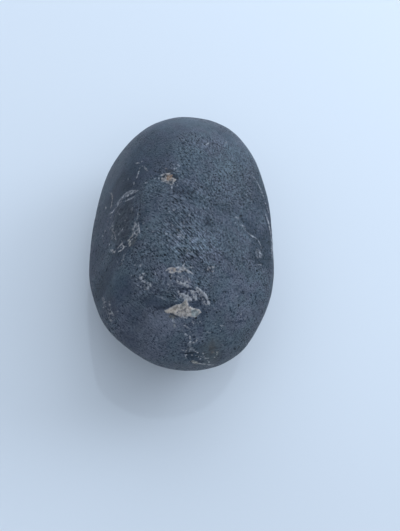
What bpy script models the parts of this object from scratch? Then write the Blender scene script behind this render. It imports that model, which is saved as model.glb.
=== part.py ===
"""River pebble: one water-worn stone, egg-shaped in plan, lying on its flattest side.

The form is what wear leaves of a broken block. An egg-like body is rubbed back by broad, soft faces,
each given by the way it looks and by how far it stands from the stone's core. Shallow scars are sunk
into the worn skin, and the underside is rubbed flat over a small patch, on which the stone rests.

Blender's unit is the metre, and the sizes below are in millimetres. +Z is up, +Y runs along the stone
to its narrow end, and the origin is on the ground, under the middle of the stone's box.
"""

import math
from typing import NamedTuple

import bmesh
import bpy
from mathutils import Vector

MM = 0.001

# Driving dimensions.
LENGTH = 95.0 * MM
WIDTH = 61.0 * MM
THICKNESS = 44.0 * MM

# The body before its faces are worn: half-sizes of the egg, and how square its curve is (2 is an ellipse).
BODY_HALF = Vector((35.0, 51.5, 22.5)) * MM
BODY_SQUARENESS = 2.3

# How tightly two worn faces meet. A higher number leaves a tighter bend between them.
BEND_TIGHTNESS = 12.0

# How far the ground has rubbed the underside back, which leaves a flat patch of about 18 by 27 mm.
REST_CUT = 0.5 * MM
RING_TOLERANCE = 0.03 * MM

# Quads along each side of the cube that the skin is laid out on.
GRID = 23

STONE_COLOUR = (0.105, 0.118, 0.135, 1.0)
STONE_ROUGHNESS = 0.62


class WornFace(NamedTuple):
    """A broad face left by wear: the bearing and lift that it looks along, and how far out it stands."""

    name: str
    bearing: float
    lift: float
    reach: float


class Scar(NamedTuple):
    """A shallow hollow in the upper side, left where a flake or a soft grain came away.

    Its place is given in plan and its turn from +X. A flatness of 2 makes a bowl, and a higher one makes
    a level floor inside a steeper rim. The lean tips the floor: 0 leaves it level, 1 puts the whole depth
    on the right of someone who looks along the hollow and none on the left, and -1 does the opposite.
    """

    name: str
    x: float
    y: float
    turn: float
    half_length: float
    half_width: float
    depth: float
    flatness: float
    lean: float


# Bearings run anticlockwise from +X and lifts upwards from level, both in degrees. Reaches are in mm.
WORN_FACES = (
    WornFace("crown", 10, 60, 20.7),
    WornFace("left_shoulder", 180, 58, 24.0),
    WornFace("right_shoulder", 323, 42, 33.6),
    WornFace("near_shoulder", 252, 50, 34.2),
    WornFace("near_brow", 284, 49, 43.2),
    WornFace("far_brow", 91, 45, 41.7),
    WornFace("left_flank", 184, 24, 23.5),
    WornFace("far_left_flank", 140, 19, 39.4),
    WornFace("far_right_flank", 37, 23, 39.6),
    WornFace("right_wall", 10, -22, 28.5),
    WornFace("near_left_belly", 197, -27, 33.6),
    WornFace("near_right_belly", 286, -13, 44.2),
    WornFace("left_keel", 165, -63, 31.5),
    WornFace("right_keel", 347, -28, 32.8),
    WornFace("near_keel", 233, -33, 33.1),
    WornFace("far_keel", 89, -49, 40.9),
)

# Places, half-sizes and depths are in mm, and turns are in degrees.
SCARS = (
    Scar("flank_flake", -18.6, -7.5, 86, 12.5, 6.5, 0.7, 5, 0.9),
    Scar("ochre_pit", -8.3, 6.2, 20, 4.4, 3.4, 0.6, 3, 0.0),
    Scar("near_chip", 1.0, -32.6, 4, 10.5, 4.6, 0.5, 5, -0.9),
    Scar("right_dent", 19.5, 1.5, 115, 9.0, 5.5, 0.5, 3, -0.6),
    Scar("end_chip", 9.6, -44.4, 25, 8.5, 3.6, 0.6, 4, -0.5),
)

# How far a scar's rim wanders in and out of an oval, as a share of its size.
RIM_WANDER = 0.1

# Quads are split again where they lie inside a scar's outline, widened by this much.
SCAR_MARGIN = 1.2
SCAR_CUTS = 2


def looking(bearing, lift):
    """The unit vector that looks along a bearing and a lift, both in degrees."""
    around, up = math.radians(bearing), math.radians(lift)
    return Vector((math.cos(up) * math.cos(around), math.cos(up) * math.sin(around), math.sin(up)))


def worn_radius(direction):
    """How far the worn stone reaches from its core along a unit vector."""
    egg = sum((abs(direction[i]) / BODY_HALF[i]) ** BODY_SQUARENESS for i in range(3))
    closeness = egg ** (BEND_TIGHTNESS / BODY_SQUARENESS)
    for face in WORN_FACES:
        towards = max(0.0, direction.dot(looking(face.bearing, face.lift)))
        closeness += (towards / (face.reach * MM)) ** BEND_TIGHTNESS
    return closeness ** (-1 / BEND_TIGHTNESS)


def even_direction(corner):
    """The unit vector for a point of the cube's skin, spread so that the quads come out alike."""
    spread = Vector([math.tan(side * math.pi / 4) * half for side, half in zip(corner, BODY_HALF)])
    return spread.normalized()


def worn_point(corner):
    """Where a point of the cube's skin lies once the stone is worn, measured from the stone's core."""
    direction = even_direction(corner)
    return direction * worn_radius(direction)


class StoneBox:
    """Carries worn points into the stone's own frame, where the box has the driving dimensions."""

    def __init__(self, points):
        self.low = Vector([min(point[i] for point in points) for i in range(3)])
        self.high = Vector([max(point[i] for point in points) for i in range(3)])

    def carry(self, point):
        """The point moved and scaled, with the lowest point of the stone a rest cut below the ground."""
        across, along, up = [(point[i] - self.low[i]) / (self.high[i] - self.low[i]) for i in range(3)]
        height = up * (THICKNESS + REST_CUT) - REST_CUT
        return Vector(((across - 0.5) * WIDTH, (along - 0.5) * LENGTH, height))


class ScarFrame:
    """The place of one scar on the stone: its middle, and the ways along it, across it and inwards."""

    def __init__(self, scar, places):
        self.scar = scar
        plan = Vector((scar.x, scar.y)) * MM
        above = [(place, normal) for place, normal in places if normal.z > 0]
        self.middle, normal = min(above, key=lambda item: (item[0].xy - plan).length)
        self.inwards = -normal
        turn = math.radians(scar.turn)
        along = Vector((math.cos(turn), math.sin(turn), 0.0))
        self.along = (along - along.project(normal)).normalized()
        self.across = self.along.cross(normal)

    def shares(self, place):
        """How far along, across and into the scar a place lies, as shares of the scar's half-sizes."""
        offset = place - self.middle
        return (
            offset.dot(self.along) / (self.scar.half_length * MM),
            offset.dot(self.across) / (self.scar.half_width * MM),
            offset.dot(self.inwards) / (self.scar.half_length * MM),
        )

    def reach(self, place):
        """How far out in the scar a place lies: 0 in the middle, 1 on the rim, and more outside it."""
        lengthways, sideways, depthways = self.shares(place)
        bearing = math.atan2(sideways, lengthways)
        wander = math.sin(3 * bearing + self.scar.x) + math.sin(5 * bearing + self.scar.y) / 2
        return math.hypot(lengthways, sideways, depthways) / (1 + RIM_WANDER * wander)

    def sink(self, place):
        """The step that takes a place on the skin down to the floor of the scar."""
        reach = min(1.0, self.reach(place))
        sideways = max(-1.0, min(1.0, self.shares(place)[1]))
        kept = 1 - abs(self.scar.lean) / 2 + self.scar.lean * sideways / 2
        return self.inwards * self.scar.depth * MM * kept * (1 - reach**self.scar.flatness) ** 2


def lay_out_skin(mesh):
    """Makes the cube of quads whose corners become the stone's skin."""
    bmesh.ops.create_cube(mesh, size=2)
    bmesh.ops.subdivide_edges(mesh, edges=mesh.edges[:], cuts=GRID - 1, use_grid_fill=True)


def worn_places(mesh, box):
    """Every corner's place on the worn stone, and the way the skin looks there."""
    corners = [vertex.co.copy() for vertex in mesh.verts]
    for vertex, corner in zip(mesh.verts, corners):
        vertex.co = box.carry(worn_point(corner))
    mesh.normal_update()
    places = [(vertex.co.copy(), vertex.normal.copy()) for vertex in mesh.verts]
    for vertex, corner in zip(mesh.verts, corners):
        vertex.co = corner
    return places


def split_under_scars(mesh, frames, places):
    """Splits the quads that lie under a scar, so that its rim and floor have corners enough."""
    mesh.verts.index_update()
    inside = [any(frame.reach(place) < SCAR_MARGIN for frame in frames) for place, _ in places]
    edges = [edge for edge in mesh.edges if all(inside[vertex.index] for vertex in edge.verts)]
    bmesh.ops.subdivide_edges(mesh, edges=edges, cuts=SCAR_CUTS, use_grid_fill=True)


def shape_skin(mesh):
    """Turns the cube of quads into the worn stone, scars and all."""
    box = StoneBox([worn_point(vertex.co) for vertex in mesh.verts])
    places = worn_places(mesh, box)
    frames = [ScarFrame(scar, places) for scar in SCARS]
    split_under_scars(mesh, frames, places)
    for vertex in mesh.verts:
        place = box.carry(worn_point(vertex.co))
        vertex.co = place + sum((frame.sink(place) for frame in frames), Vector())


def rub_underside(mesh):
    """Cuts the underside off level with the ground, and closes it with one flat face."""
    everything = mesh.verts[:] + mesh.edges[:] + mesh.faces[:]
    cut = bmesh.ops.bisect_plane(
        mesh,
        geom=everything,
        dist=RING_TOLERANCE,
        plane_co=(0, 0, 0),
        plane_no=(0, 0, 1),
        clear_inner=True,
    )
    ring = [item for item in cut["geom_cut"] if isinstance(item, bmesh.types.BMEdge)]
    for edge in ring:
        edge.smooth = False
        for vertex in edge.verts:
            vertex.co.z = 0.0
    bmesh.ops.holes_fill(mesh, edges=ring)


def stone_material():
    """Dark blue-grey rock with the dull polish that water gives it."""
    material = bpy.data.materials.new("dark_river_stone")
    material.use_nodes = True
    surface = material.node_tree.nodes["Principled BSDF"]
    surface.inputs["Base Color"].default_value = STONE_COLOUR
    surface.inputs["Roughness"].default_value = STONE_ROUGHNESS
    surface.inputs["Metallic"].default_value = 0.0
    return material


def make_pebble():
    """Builds the pebble as one closed solid and links it into the scene."""
    mesh = bmesh.new()
    lay_out_skin(mesh)
    shape_skin(mesh)
    rub_underside(mesh)
    bmesh.ops.recalc_face_normals(mesh, faces=mesh.faces[:])
    for face in mesh.faces:
        face.smooth = True
    data = bpy.data.meshes.new("pebble")
    mesh.to_mesh(data)
    mesh.free()
    data.materials.append(stone_material())
    pebble = bpy.data.objects.new("pebble", data)
    bpy.context.scene.collection.objects.link(pebble)
    return pebble


def main():
    """Clears the scene and makes the pebble."""
    for old in list(bpy.data.objects):
        bpy.data.objects.remove(old)
    make_pebble()


main()
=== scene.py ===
"""The looks of a river pebble: a dark, water-worn stone with pale veins, scars and pits.

The stone's fine skin is laid over the frame's solid, sculpted and stained mark by mark, with shade
painted into its pits, grooves and hollows and light and shade painted over wide areas, and dressed in
one stone finish. A glazed pale table, a soft lamp, a pale room's light and the camera complete the scene.

Lengths are in millimetres, and angles in degrees, unless a name says otherwise. Blender's metres are
used only where a mesh, a lamp or the camera is made. +Z is up, and +Y runs along the stone. A place
given as x and y is on the upper side of the stone, as seen from above, from the middle of its box. One
given as x, y and z is the point of the stone that is nearest to it.
"""

import itertools
import logging
import math
from dataclasses import dataclass, field, fields
from enum import Enum
from typing import ClassVar

import bmesh
import bpy
import numpy as np
from mathutils import Matrix, Vector
from mathutils.bvhtree import BVHTree
from mathutils.kdtree import KDTree

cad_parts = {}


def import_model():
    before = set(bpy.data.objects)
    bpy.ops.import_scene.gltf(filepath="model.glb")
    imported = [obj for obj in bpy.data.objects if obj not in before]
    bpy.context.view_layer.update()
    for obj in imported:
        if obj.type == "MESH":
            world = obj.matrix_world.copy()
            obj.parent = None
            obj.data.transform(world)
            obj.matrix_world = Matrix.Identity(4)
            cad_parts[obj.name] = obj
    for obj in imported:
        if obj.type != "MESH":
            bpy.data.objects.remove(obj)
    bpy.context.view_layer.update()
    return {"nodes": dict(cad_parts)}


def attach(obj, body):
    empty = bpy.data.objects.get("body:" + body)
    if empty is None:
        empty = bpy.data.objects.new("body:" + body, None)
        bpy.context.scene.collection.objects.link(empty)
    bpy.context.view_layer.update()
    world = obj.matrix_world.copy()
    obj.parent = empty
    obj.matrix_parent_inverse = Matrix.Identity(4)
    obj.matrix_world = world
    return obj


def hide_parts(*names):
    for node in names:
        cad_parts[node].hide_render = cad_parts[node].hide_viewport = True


log = logging.getLogger("river_pebble")

MM = 0.001

TINY = 1e-12  # Stands in for a length or an area of nothing in a division.
MARGIN = 1.0  # How far past a line's own reach corners are looked for.
GROWN_OVER = (-0.1, 0.5)  # From where to where in its grit the skin grows over a mark.
MINERAL_GRAIN = 0.4  # How much of the fine texture shows on a pale mineral.

Plan = tuple[float, float]  # x and y.
Place = tuple[float, ...]  # x and y, or x, y and z.
Colour = tuple[float, float, float]


class Paint(Enum):
    """What the skin carries from corner to corner for the stone finish to read.

    Each goes from 0 to 1, but for three: TONE goes from -1 for darker to 1 for lighter, HUE from -1
    for lilac to 1 for teal, and SWEEP, the way the fine dashes lie, from -1 to 1 anticlockwise. TONE
    carries painted light and shade as well as the stone's own tone, and PIT also makes the finish paint
    shade into the pits.
    """

    PALE = "pale"
    WARMTH = "warmth"
    RUST = "rust"
    UMBER = "umber"
    OLIVE = "olive"
    TONE = "tone"
    HUE = "hue"
    GRAIN = "grain"
    HATCH = "hatch"
    SWEEP = "sweep"
    PIT = "pit"


def smooth_step(low: float, high: float, value: np.ndarray) -> np.ndarray:
    """Rises smoothly from 0 at low to 1 at high, or falls where low is above high."""
    share = np.clip((value - low) / (high - low), 0.0, 1.0)
    return share * share * (3.0 - 2.0 * share)


@dataclass(frozen=True)
class Grit:
    """Smooth random unevenness in space, the same on every run.

    Attributes:
        size: The size of the largest lumps.
        octaves: How many layers there are, each half as large and half as strong as the last.
        seed: A whole number that picks one unevenness out of many.
    """

    size: float
    octaves: int = 3
    seed: int = 1
    SHIFT: ClassVar[float] = 17.3  # Between layers, so that no two line up.
    GAIN: ClassVar[float] = 1.6  # Brings the mean of the layers to about -1 to 1.
    FACTORS: ClassVar[tuple[int, ...]] = (73856093, 19349663, 83492791, 2654435761)  # x, y, z, seed.
    ROUNDS: ClassVar[tuple[tuple[int, int], ...]] = ((13, 1274126177), (16, 668265263))
    KEPT_BITS: ClassVar[int] = 0x7FFFFFFF
    VALUE_BITS: ClassVar[int] = 0xFFFF

    def at(self, points: np.ndarray) -> np.ndarray:
        """Measures the unevenness.

        Args:
            points: Places, one in each row.

        Returns:
            A number from about -1 to 1 for each place.
        """
        total = np.zeros(len(points))
        strength, scale, whole = 1.0, 1.0 / self.size, 0.0
        for octave in range(self.octaves):
            total += strength * self._layer(points * scale + self.SHIFT * octave, self.seed + octave)
            whole += strength
            strength, scale = strength / 2, scale * 2
        return total / whole * self.GAIN

    @staticmethod
    def _layer(points: np.ndarray, seed: int) -> np.ndarray:
        """Blends the random values at the eight corners of the unit cube around each place.

        Args:
            points: Places, in lumps.
            seed: The seed of the layer.

        Returns:
            A number from -1 to 1 for each place.
        """
        cell = np.floor(points).astype(np.int64)
        share = points - cell
        share = share**3 * (share * (share * 6 - 15) + 10)
        total = np.zeros(len(points))
        for corner in itertools.product((0, 1), repeat=3):
            weight = np.prod(np.where(np.array(corner) == 1, share, 1 - share), axis=1)
            total += weight * Grit._corner_value(cell + np.array(corner), seed)
        return total

    @staticmethod
    def _corner_value(cell: np.ndarray, seed: int) -> np.ndarray:
        """Scrambles whole-number places into values from -1 to 1.

        Args:
            cell: Whole-number places, one in each row.
            seed: The seed of the layer.

        Returns:
            The values.
        """
        *axes, last = Grit.FACTORS
        mixed = np.bitwise_xor.reduce(cell * np.array(axes), axis=1) ^ seed * last
        for shift, factor in Grit.ROUNDS:
            mixed = (mixed ^ (mixed >> shift)) * factor & Grit.KEPT_BITS
        return (mixed & Grit.VALUE_BITS) / (Grit.VALUE_BITS / 2) - 1.0


# What makes the marks' edges wander and the skin grow over parts of them.
VEIN_EDGE, VEIN_GAPS = Grit(1.2, 3, 11), Grit(0.9, 2, 23)
PATCH_EDGE, PATCH_GAPS = Grit(1.6, 3, 31), Grit(1.0, 3, 41)
SPOT_EDGE, WASH_EDGE, LEDGE_EDGE = Grit(0.9, 2, 27), Grit(5.0, 3, 51), Grit(2.5, 3, 61)


def still_bare(spots: np.ndarray, broken: float, gaps: Grit) -> np.ndarray:
    """Tells what share of a mark is left at each spot, where the skin has grown over some of it."""
    return 1 - broken * smooth_step(*GROWN_OVER, gaps.at(spots))


class SolidSurface:
    """The frame's solid, read as a smooth surface that sight lines can be dropped on."""

    SAME_DIGITS: ClassVar[int] = 3  # Corners that agree to so many digits are one.
    ROUNDNESS: ClassVar[float] = 0.75  # From 0 for flat faces to 1 for the smooth surface.
    HEADROOM: ClassVar[float] = 1.0

    def __init__(self, node: bpy.types.Object) -> None:
        """Reads the solid.

        Args:
            node: The frame's own object for the stone.
        """
        mesh = node.data
        places = np.empty(len(mesh.vertices) * 3)
        mesh.vertices.foreach_get("co", places)
        places = places.reshape(-1, 3) / MM
        mesh.calc_loop_triangles()
        corners = np.empty(len(mesh.loop_triangles) * 3, int)
        mesh.loop_triangles.foreach_get("vertices", corners)
        same = np.round(places, self.SAME_DIGITS)
        _, first, merged = np.unique(same, axis=0, return_index=True, return_inverse=True)
        self.places = places[first]
        self.triangles = merged.reshape(-1)[corners].reshape(-1, 3)
        self.normals = self._corner_normals()
        self.tree = BVHTree.FromPolygons(self.places.tolist(), self.triangles.tolist())

    def _corner_normals(self) -> np.ndarray:
        """Averages the faces around each corner, each weighted by its angle there."""
        total = np.zeros_like(self.places)
        sides = [self.places[self.triangles[:, i]] for i in range(3)]
        face = np.cross(sides[1] - sides[0], sides[2] - sides[0])
        face /= np.maximum(np.linalg.norm(face, axis=1, keepdims=True), TINY)
        for i in range(3):
            one = sides[(i + 1) % 3] - sides[i]
            other = sides[(i + 2) % 3] - sides[i]
            lengths = np.linalg.norm(one, axis=1) * np.linalg.norm(other, axis=1)
            angle = np.arccos(np.clip((one * other).sum(1) / np.maximum(lengths, TINY), -1, 1))
            np.add.at(total, self.triangles[:, i], face * angle[:, None])
        return total / np.linalg.norm(total, axis=1, keepdims=True)

    def middle(self) -> np.ndarray:
        """The middle of the solid's box."""
        return (self.places.min(axis=0) + self.places.max(axis=0)) / 2

    def half_sizes(self) -> np.ndarray:
        """Half the solid's box along each axis."""
        return (self.places.max(axis=0) - self.places.min(axis=0)) / 2

    def cast(self, start: np.ndarray, directions: np.ndarray) -> np.ndarray:
        """Finds where rays from one point leave the solid, rounded between its corners.

        Args:
            start: The point inside the solid that the rays leave from.
            directions: The rays' directions, one in each row.

        Returns:
            The place of each hit.
        """
        origin = Vector(start)
        hits = [self.tree.ray_cast(origin, Vector(way)) for way in directions]
        spots = np.array([hit[0][:] for hit in hits])
        faces = self.triangles[[hit[2] for hit in hits]]
        return self._rounded(spots, faces)

    def _rounded(self, spots: np.ndarray, faces: np.ndarray) -> np.ndarray:
        """Bulges flat triangles towards the smooth surface that their corners' normals describe.

        Args:
            spots: Places on the triangles, one in each row.
            faces: The numbers of each triangle's corners.

        Returns:
            The places on the bulged triangles.
        """
        a, b, c = (self.places[faces[:, i]] for i in range(3))
        whole = np.cross(b - a, c - a)
        area = np.maximum((whole * whole).sum(1), TINY)
        shares = [
            (np.cross(c - b, spots - b) * whole).sum(1) / area,
            (np.cross(a - c, spots - c) * whole).sum(1) / area,
        ]
        shares.append(1 - shares[0] - shares[1])
        bulged = np.zeros_like(spots)
        for i, share in enumerate(shares):
            normal = self.normals[faces[:, i]]
            height = ((spots - self.places[faces[:, i]]) * normal).sum(1, keepdims=True)
            bulged += share[:, None] * (spots - height * normal)
        return spots + (bulged - spots) * self.ROUNDNESS

    def drop(self, place: Place) -> np.ndarray:
        """Finds the point under a place in plan, or the point nearest a place in space.

        Args:
            place: x and y, or x, y and z.

        Returns:
            The point, on the ground where nothing is under the place.
        """
        if len(place) == 3:
            return np.array(self.tree.find_nearest(Vector(place))[0])
        above = Vector((*place, self.places[:, 2].max() + self.HEADROOM))
        hit = self.tree.ray_cast(above, Vector((0, 0, -1)))
        return np.array(hit[0] if hit[0] is not None else (*place, 0.0))


@dataclass
class Skin:
    """The stone's fine skin: its corners, the way each looks, how far each is moved, and its paints."""

    mesh: bpy.types.Mesh
    solid: SolidSurface
    points: np.ndarray
    normals: np.ndarray
    lift: np.ndarray = field(init=False)
    paints: dict[Paint, np.ndarray] = field(init=False)
    UPPER_FROM: ClassVar[float] = -0.05  # The least z of the normals on the upper side.

    def __post_init__(self) -> None:
        """Starts with an unmoved and unpainted skin."""
        self.lift = np.zeros(len(self.points))
        self.paints = {paint: np.zeros(len(self.points)) for paint in Paint}

    def work(self, stains: dict[Paint, float], lift: float, share: np.ndarray, near: np.ndarray) -> None:
        """Takes paints some of the way to their values, and moves the corners.

        Args:
            stains: The value that each paint goes towards.
            lift: How far a corner is raised, or sunk where it is below 0.
            share: How much of both each near corner gets, from 0 to 1.
            near: The corners' numbers.
        """
        for paint, value in stains.items():
            layer = self.paints[paint]
            layer[near] += (value - layer[near]) * share
        self.lift[near] += lift * share

    def around(self, low: np.ndarray, high: np.ndarray) -> np.ndarray:
        """Finds the numbers of the corners in a box, or of the upper side's corners in a plan rectangle.

        Args:
            low: The least coordinates: three for a box, and two for a rectangle.
            high: The greatest.

        Returns:
            The corners' numbers.
        """
        axes = len(low)
        inside = ((self.points[:, :axes] > low) & (self.points[:, :axes] < high)).all(axis=1)
        return np.flatnonzero(inside if axes == 3 else inside & (self.normals[:, 2] > self.UPPER_FROM))


@dataclass(frozen=True)
class SkinMaker:
    """Lays an even mesh over the solid, with finer quads on the upper side.

    Attributes:
        quads: Quads along each side of the cube that the mesh is laid out on.
        fine_from: How far upwards corners must look for the quads between them to be split, as the z of
            their normals. Below 0 it takes in the top of the side that curves under.
        finest: The ovals, in plan, where those quads are split once more. Each is a middle and half sizes.
        relax_rounds: How often corners are moved towards their neighbours, which hides the solid's facets.
    """

    quads: int = 59
    fine_from: float = -0.12
    finest: tuple[tuple[Plan, Plan], ...] = (
        ((1.5, -30.5), (13.5, 10.5)),
        ((-19.5, -3.0), (7.0, 20.5)),
        ((-8.0, 7.0), (6.5, 5.0)),
        ((-0.5, -16.0), (8.0, 7.0)),
        ((8.5, -42.5), (9.5, 5.5)),
        ((23.0, 1.0), (7.5, 12.5)),
        ((2.2, 24.9), (1.6, 1.4)),
        ((-18.4, 11.0), (2.0, 7.0)),
        ((-10.4, -29.8), (4.0, 4.6)),
        ((-19.4, -35.0), (4.2, 6.4)),
    )
    relax_rounds: int = 20

    def make(self, solid: SolidSurface) -> Skin:
        """Makes the skin.

        Args:
            solid: The stone's solid.

        Returns:
            The skin, still smooth and unpainted.
        """
        core = solid.middle()
        work = bmesh.new()
        bmesh.ops.create_cube(work, size=2)
        bmesh.ops.subdivide_edges(work, edges=work.edges[:], cuts=self.quads - 1, use_grid_fill=True)
        cube = np.array([corner.co[:] for corner in work.verts])
        spread = np.tan(cube * math.pi / 4) * solid.half_sizes()
        self._wrap(work, solid, core, spread)
        self._split(work, [corner for corner in work.verts if corner.normal.z > self.fine_from])
        self._split(work, [corner for corner in work.verts if self._in_finest(corner)])
        around = np.array([corner.co[:] for corner in work.verts]) - core
        self._wrap(work, solid, core, around)
        mesh = bpy.data.meshes.new("pebble_skin")
        work.to_mesh(mesh)
        work.free()
        points = self._relaxed(mesh)
        return Skin(mesh, solid, points, corner_normals(mesh, points))

    @staticmethod
    def _wrap(work: bmesh.types.BMesh, solid: SolidSurface, core: np.ndarray, ways: np.ndarray) -> None:
        """Moves every corner out along its way until it lies on the solid.

        Args:
            work: The mesh.
            solid: The solid.
            core: The point that the corners move out from.
            ways: The way of each corner.
        """
        ways = ways / np.linalg.norm(ways, axis=1, keepdims=True)
        for corner, place in zip(work.verts, solid.cast(core, ways)):
            corner.co = place
        work.normal_update()

    def _in_finest(self, corner: bmesh.types.BMVert) -> bool:
        """Tells whether a corner of the upper side is in one of the finest ovals.

        Args:
            corner: The corner.

        Returns:
            True where it is.
        """
        x, y, _ = corner.co
        return corner.normal.z > self.fine_from and any(
            math.hypot((x - middle[0]) / half[0], (y - middle[1]) / half[1]) < 1
            for middle, half in self.finest
        )

    @staticmethod
    def _split(work: bmesh.types.BMesh, chosen: list[bmesh.types.BMVert]) -> None:
        """Splits the quads between the chosen corners in four.

        Args:
            work: The mesh.
            chosen: The corners.
        """
        picked = set(chosen)
        edges = [edge for edge in work.edges if edge.verts[0] in picked and edge.verts[1] in picked]
        bmesh.ops.subdivide_edges(work, edges=edges, cuts=1, use_grid_fill=True)
        work.normal_update()

    def _relaxed(self, mesh: bpy.types.Mesh) -> np.ndarray:
        """Evens out the corners, and keeps them above the ground and the rest face flat.

        Args:
            mesh: The mesh on the solid.

        Returns:
            The new place of each corner.
        """
        points = np.empty(len(mesh.vertices) * 3)
        mesh.vertices.foreach_get("co", points)
        points = points.reshape(-1, 3)
        ends = np.empty(len(mesh.edges) * 2, int)
        mesh.edges.foreach_get("vertices", ends)
        ends = ends.reshape(-1, 2)
        degree = np.bincount(ends.reshape(-1), minlength=len(points))[:, None]
        for _ in range(self.relax_rounds):
            total = np.zeros_like(points)
            for axis in range(3):
                total[:, axis] += np.bincount(ends[:, 0], points[ends[:, 1], axis], len(points))
                total[:, axis] += np.bincount(ends[:, 1], points[ends[:, 0], axis], len(points))
            points = (points + total / degree) / 2
        points[:, 2] = np.maximum(points[:, 2], 0.0)
        return points


def corner_normals(mesh: bpy.types.Mesh, points: np.ndarray) -> np.ndarray:
    """Writes new places into a mesh and reads its corner normals back.

    Args:
        mesh: The mesh to move.
        points: The new place of each corner, in the mesh's own units.

    Returns:
        The unit normal of each corner.
    """
    mesh.vertices.foreach_set("co", points.reshape(-1))
    mesh.update()
    normals = np.empty(len(points) * 3)
    mesh.vertex_normals.foreach_get("vector", normals)
    return normals.reshape(-1, 3)


@dataclass(frozen=True)
class Trace:
    """A line on the stone, through a few places."""

    places: tuple[Place, ...]

    def measure(self, skin: Skin, reach: float) -> tuple[np.ndarray, np.ndarray, np.ndarray, np.ndarray]:
        """Measures the corners near the line.

        Args:
            skin: The stone's skin.
            reach: How far from the line corners are looked for.

        Returns:
            The near corners' numbers, their distances from the line, how far along it they are from
            0 to 1, and on which side they are: 1 to the right of someone who looks along it, and -1
            to the left.
        """
        knots = np.array([skin.solid.drop(place) for place in self.places])
        near = skin.around(knots.min(axis=0) - reach, knots.max(axis=0) + reach)
        spots = skin.points[near]
        lengths = np.linalg.norm(np.diff(knots, axis=0), axis=1)
        before = np.concatenate(([0.0], np.cumsum(lengths)))
        best = np.full(len(near), np.inf)
        along = np.zeros(len(near))
        side = np.ones(len(near))
        for start, end, length, passed in zip(knots, knots[1:], lengths, before):
            way = (end - start) / length
            share = np.clip((spots - start) @ way, 0, length)
            distance = np.linalg.norm(spots - start - share[:, None] * way, axis=1)
            closer = distance < best
            turn = (spots[:, 0] - start[0]) * way[1] - (spots[:, 1] - start[1]) * way[0]
            best = np.where(closer, distance, best)
            along = np.where(closer, (passed + share) / before[-1], along)
            side = np.where(closer, np.sign(turn), side)
        return near, best, along, side


@dataclass(frozen=True)
class Vein:
    """A thread of mineral, or a scratch, that follows a line.

    Attributes:
        places: The line.
        width: Its greatest width. It narrows towards both ends.
        stains: What it is painted with.
        lift: How far it stands proud of the skin, or is sunk where it is below 0.
        broken: How much of it the skin has grown over, from 0 to 1.
    """

    places: tuple[Place, ...]
    width: float
    stains: dict[Paint, float]
    lift: float
    broken: float
    ENDS: ClassVar[Plan] = (0.03, 0.97)  # Where it stops narrowing, as shares of its length.
    FADE: ClassVar[Plan] = (0.2, -0.16)  # How far outside and inside its edge its paint fades.
    WANDER: ClassVar[Plan] = (0.05, 0.2)  # How far its edge wanders, and how much more for its width.

    def mark(self, skin: Skin) -> None:
        """Works the vein into the skin.

        Args:
            skin: The stone's skin.
        """
        near, distance, along, _ = Trace(self.places).measure(skin, self.width * 2 + MARGIN)
        spots = skin.points[near]
        half = self.width / 2 * np.sqrt(np.sin(np.clip(along, *self.ENDS) * math.pi))
        least, more = self.WANDER
        wander = VEIN_EDGE.at(spots) * (least + self.width * more)
        share = smooth_step(*self.FADE, distance + wander - half)
        share *= still_bare(spots, self.broken, VEIN_GAPS)
        skin.work(self.stains, self.lift, share, near)


@dataclass(frozen=True)
class Spots:
    """Small round spots: crumbs of mineral, or pits.

    Attributes:
        places: Their middles.
        radius: The radius of each.
        stains: What they are painted with.
        lift: How far they stand proud of the skin, or are sunk where it is below 0.
    """

    places: tuple[Place, ...]
    radius: float
    stains: dict[Paint, float]
    lift: float = 0.0
    FADE: ClassVar[Plan] = (1.3, 0.5)  # Where they have faded and where they are whole, in radii.
    REACH: ClassVar[float] = 2.0  # How far out corners are looked for, in radii.
    WANDER: ClassVar[float] = 0.5  # How far their edge wanders, in radii.

    def mark(self, skin: Skin) -> None:
        """Works the spots into the skin, none of them quite round.

        Args:
            skin: The stone's skin.
        """
        for place in self.places:
            middle = skin.solid.drop(place)
            near = skin.around(middle - self.REACH * self.radius, middle + self.REACH * self.radius)
            spots = skin.points[near]
            radii = np.linalg.norm(spots - middle, axis=1) / self.radius
            share = smooth_step(*self.FADE, radii + SPOT_EDGE.at(spots) * self.WANDER)
            skin.work(self.stains, self.lift, share, near)


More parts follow.
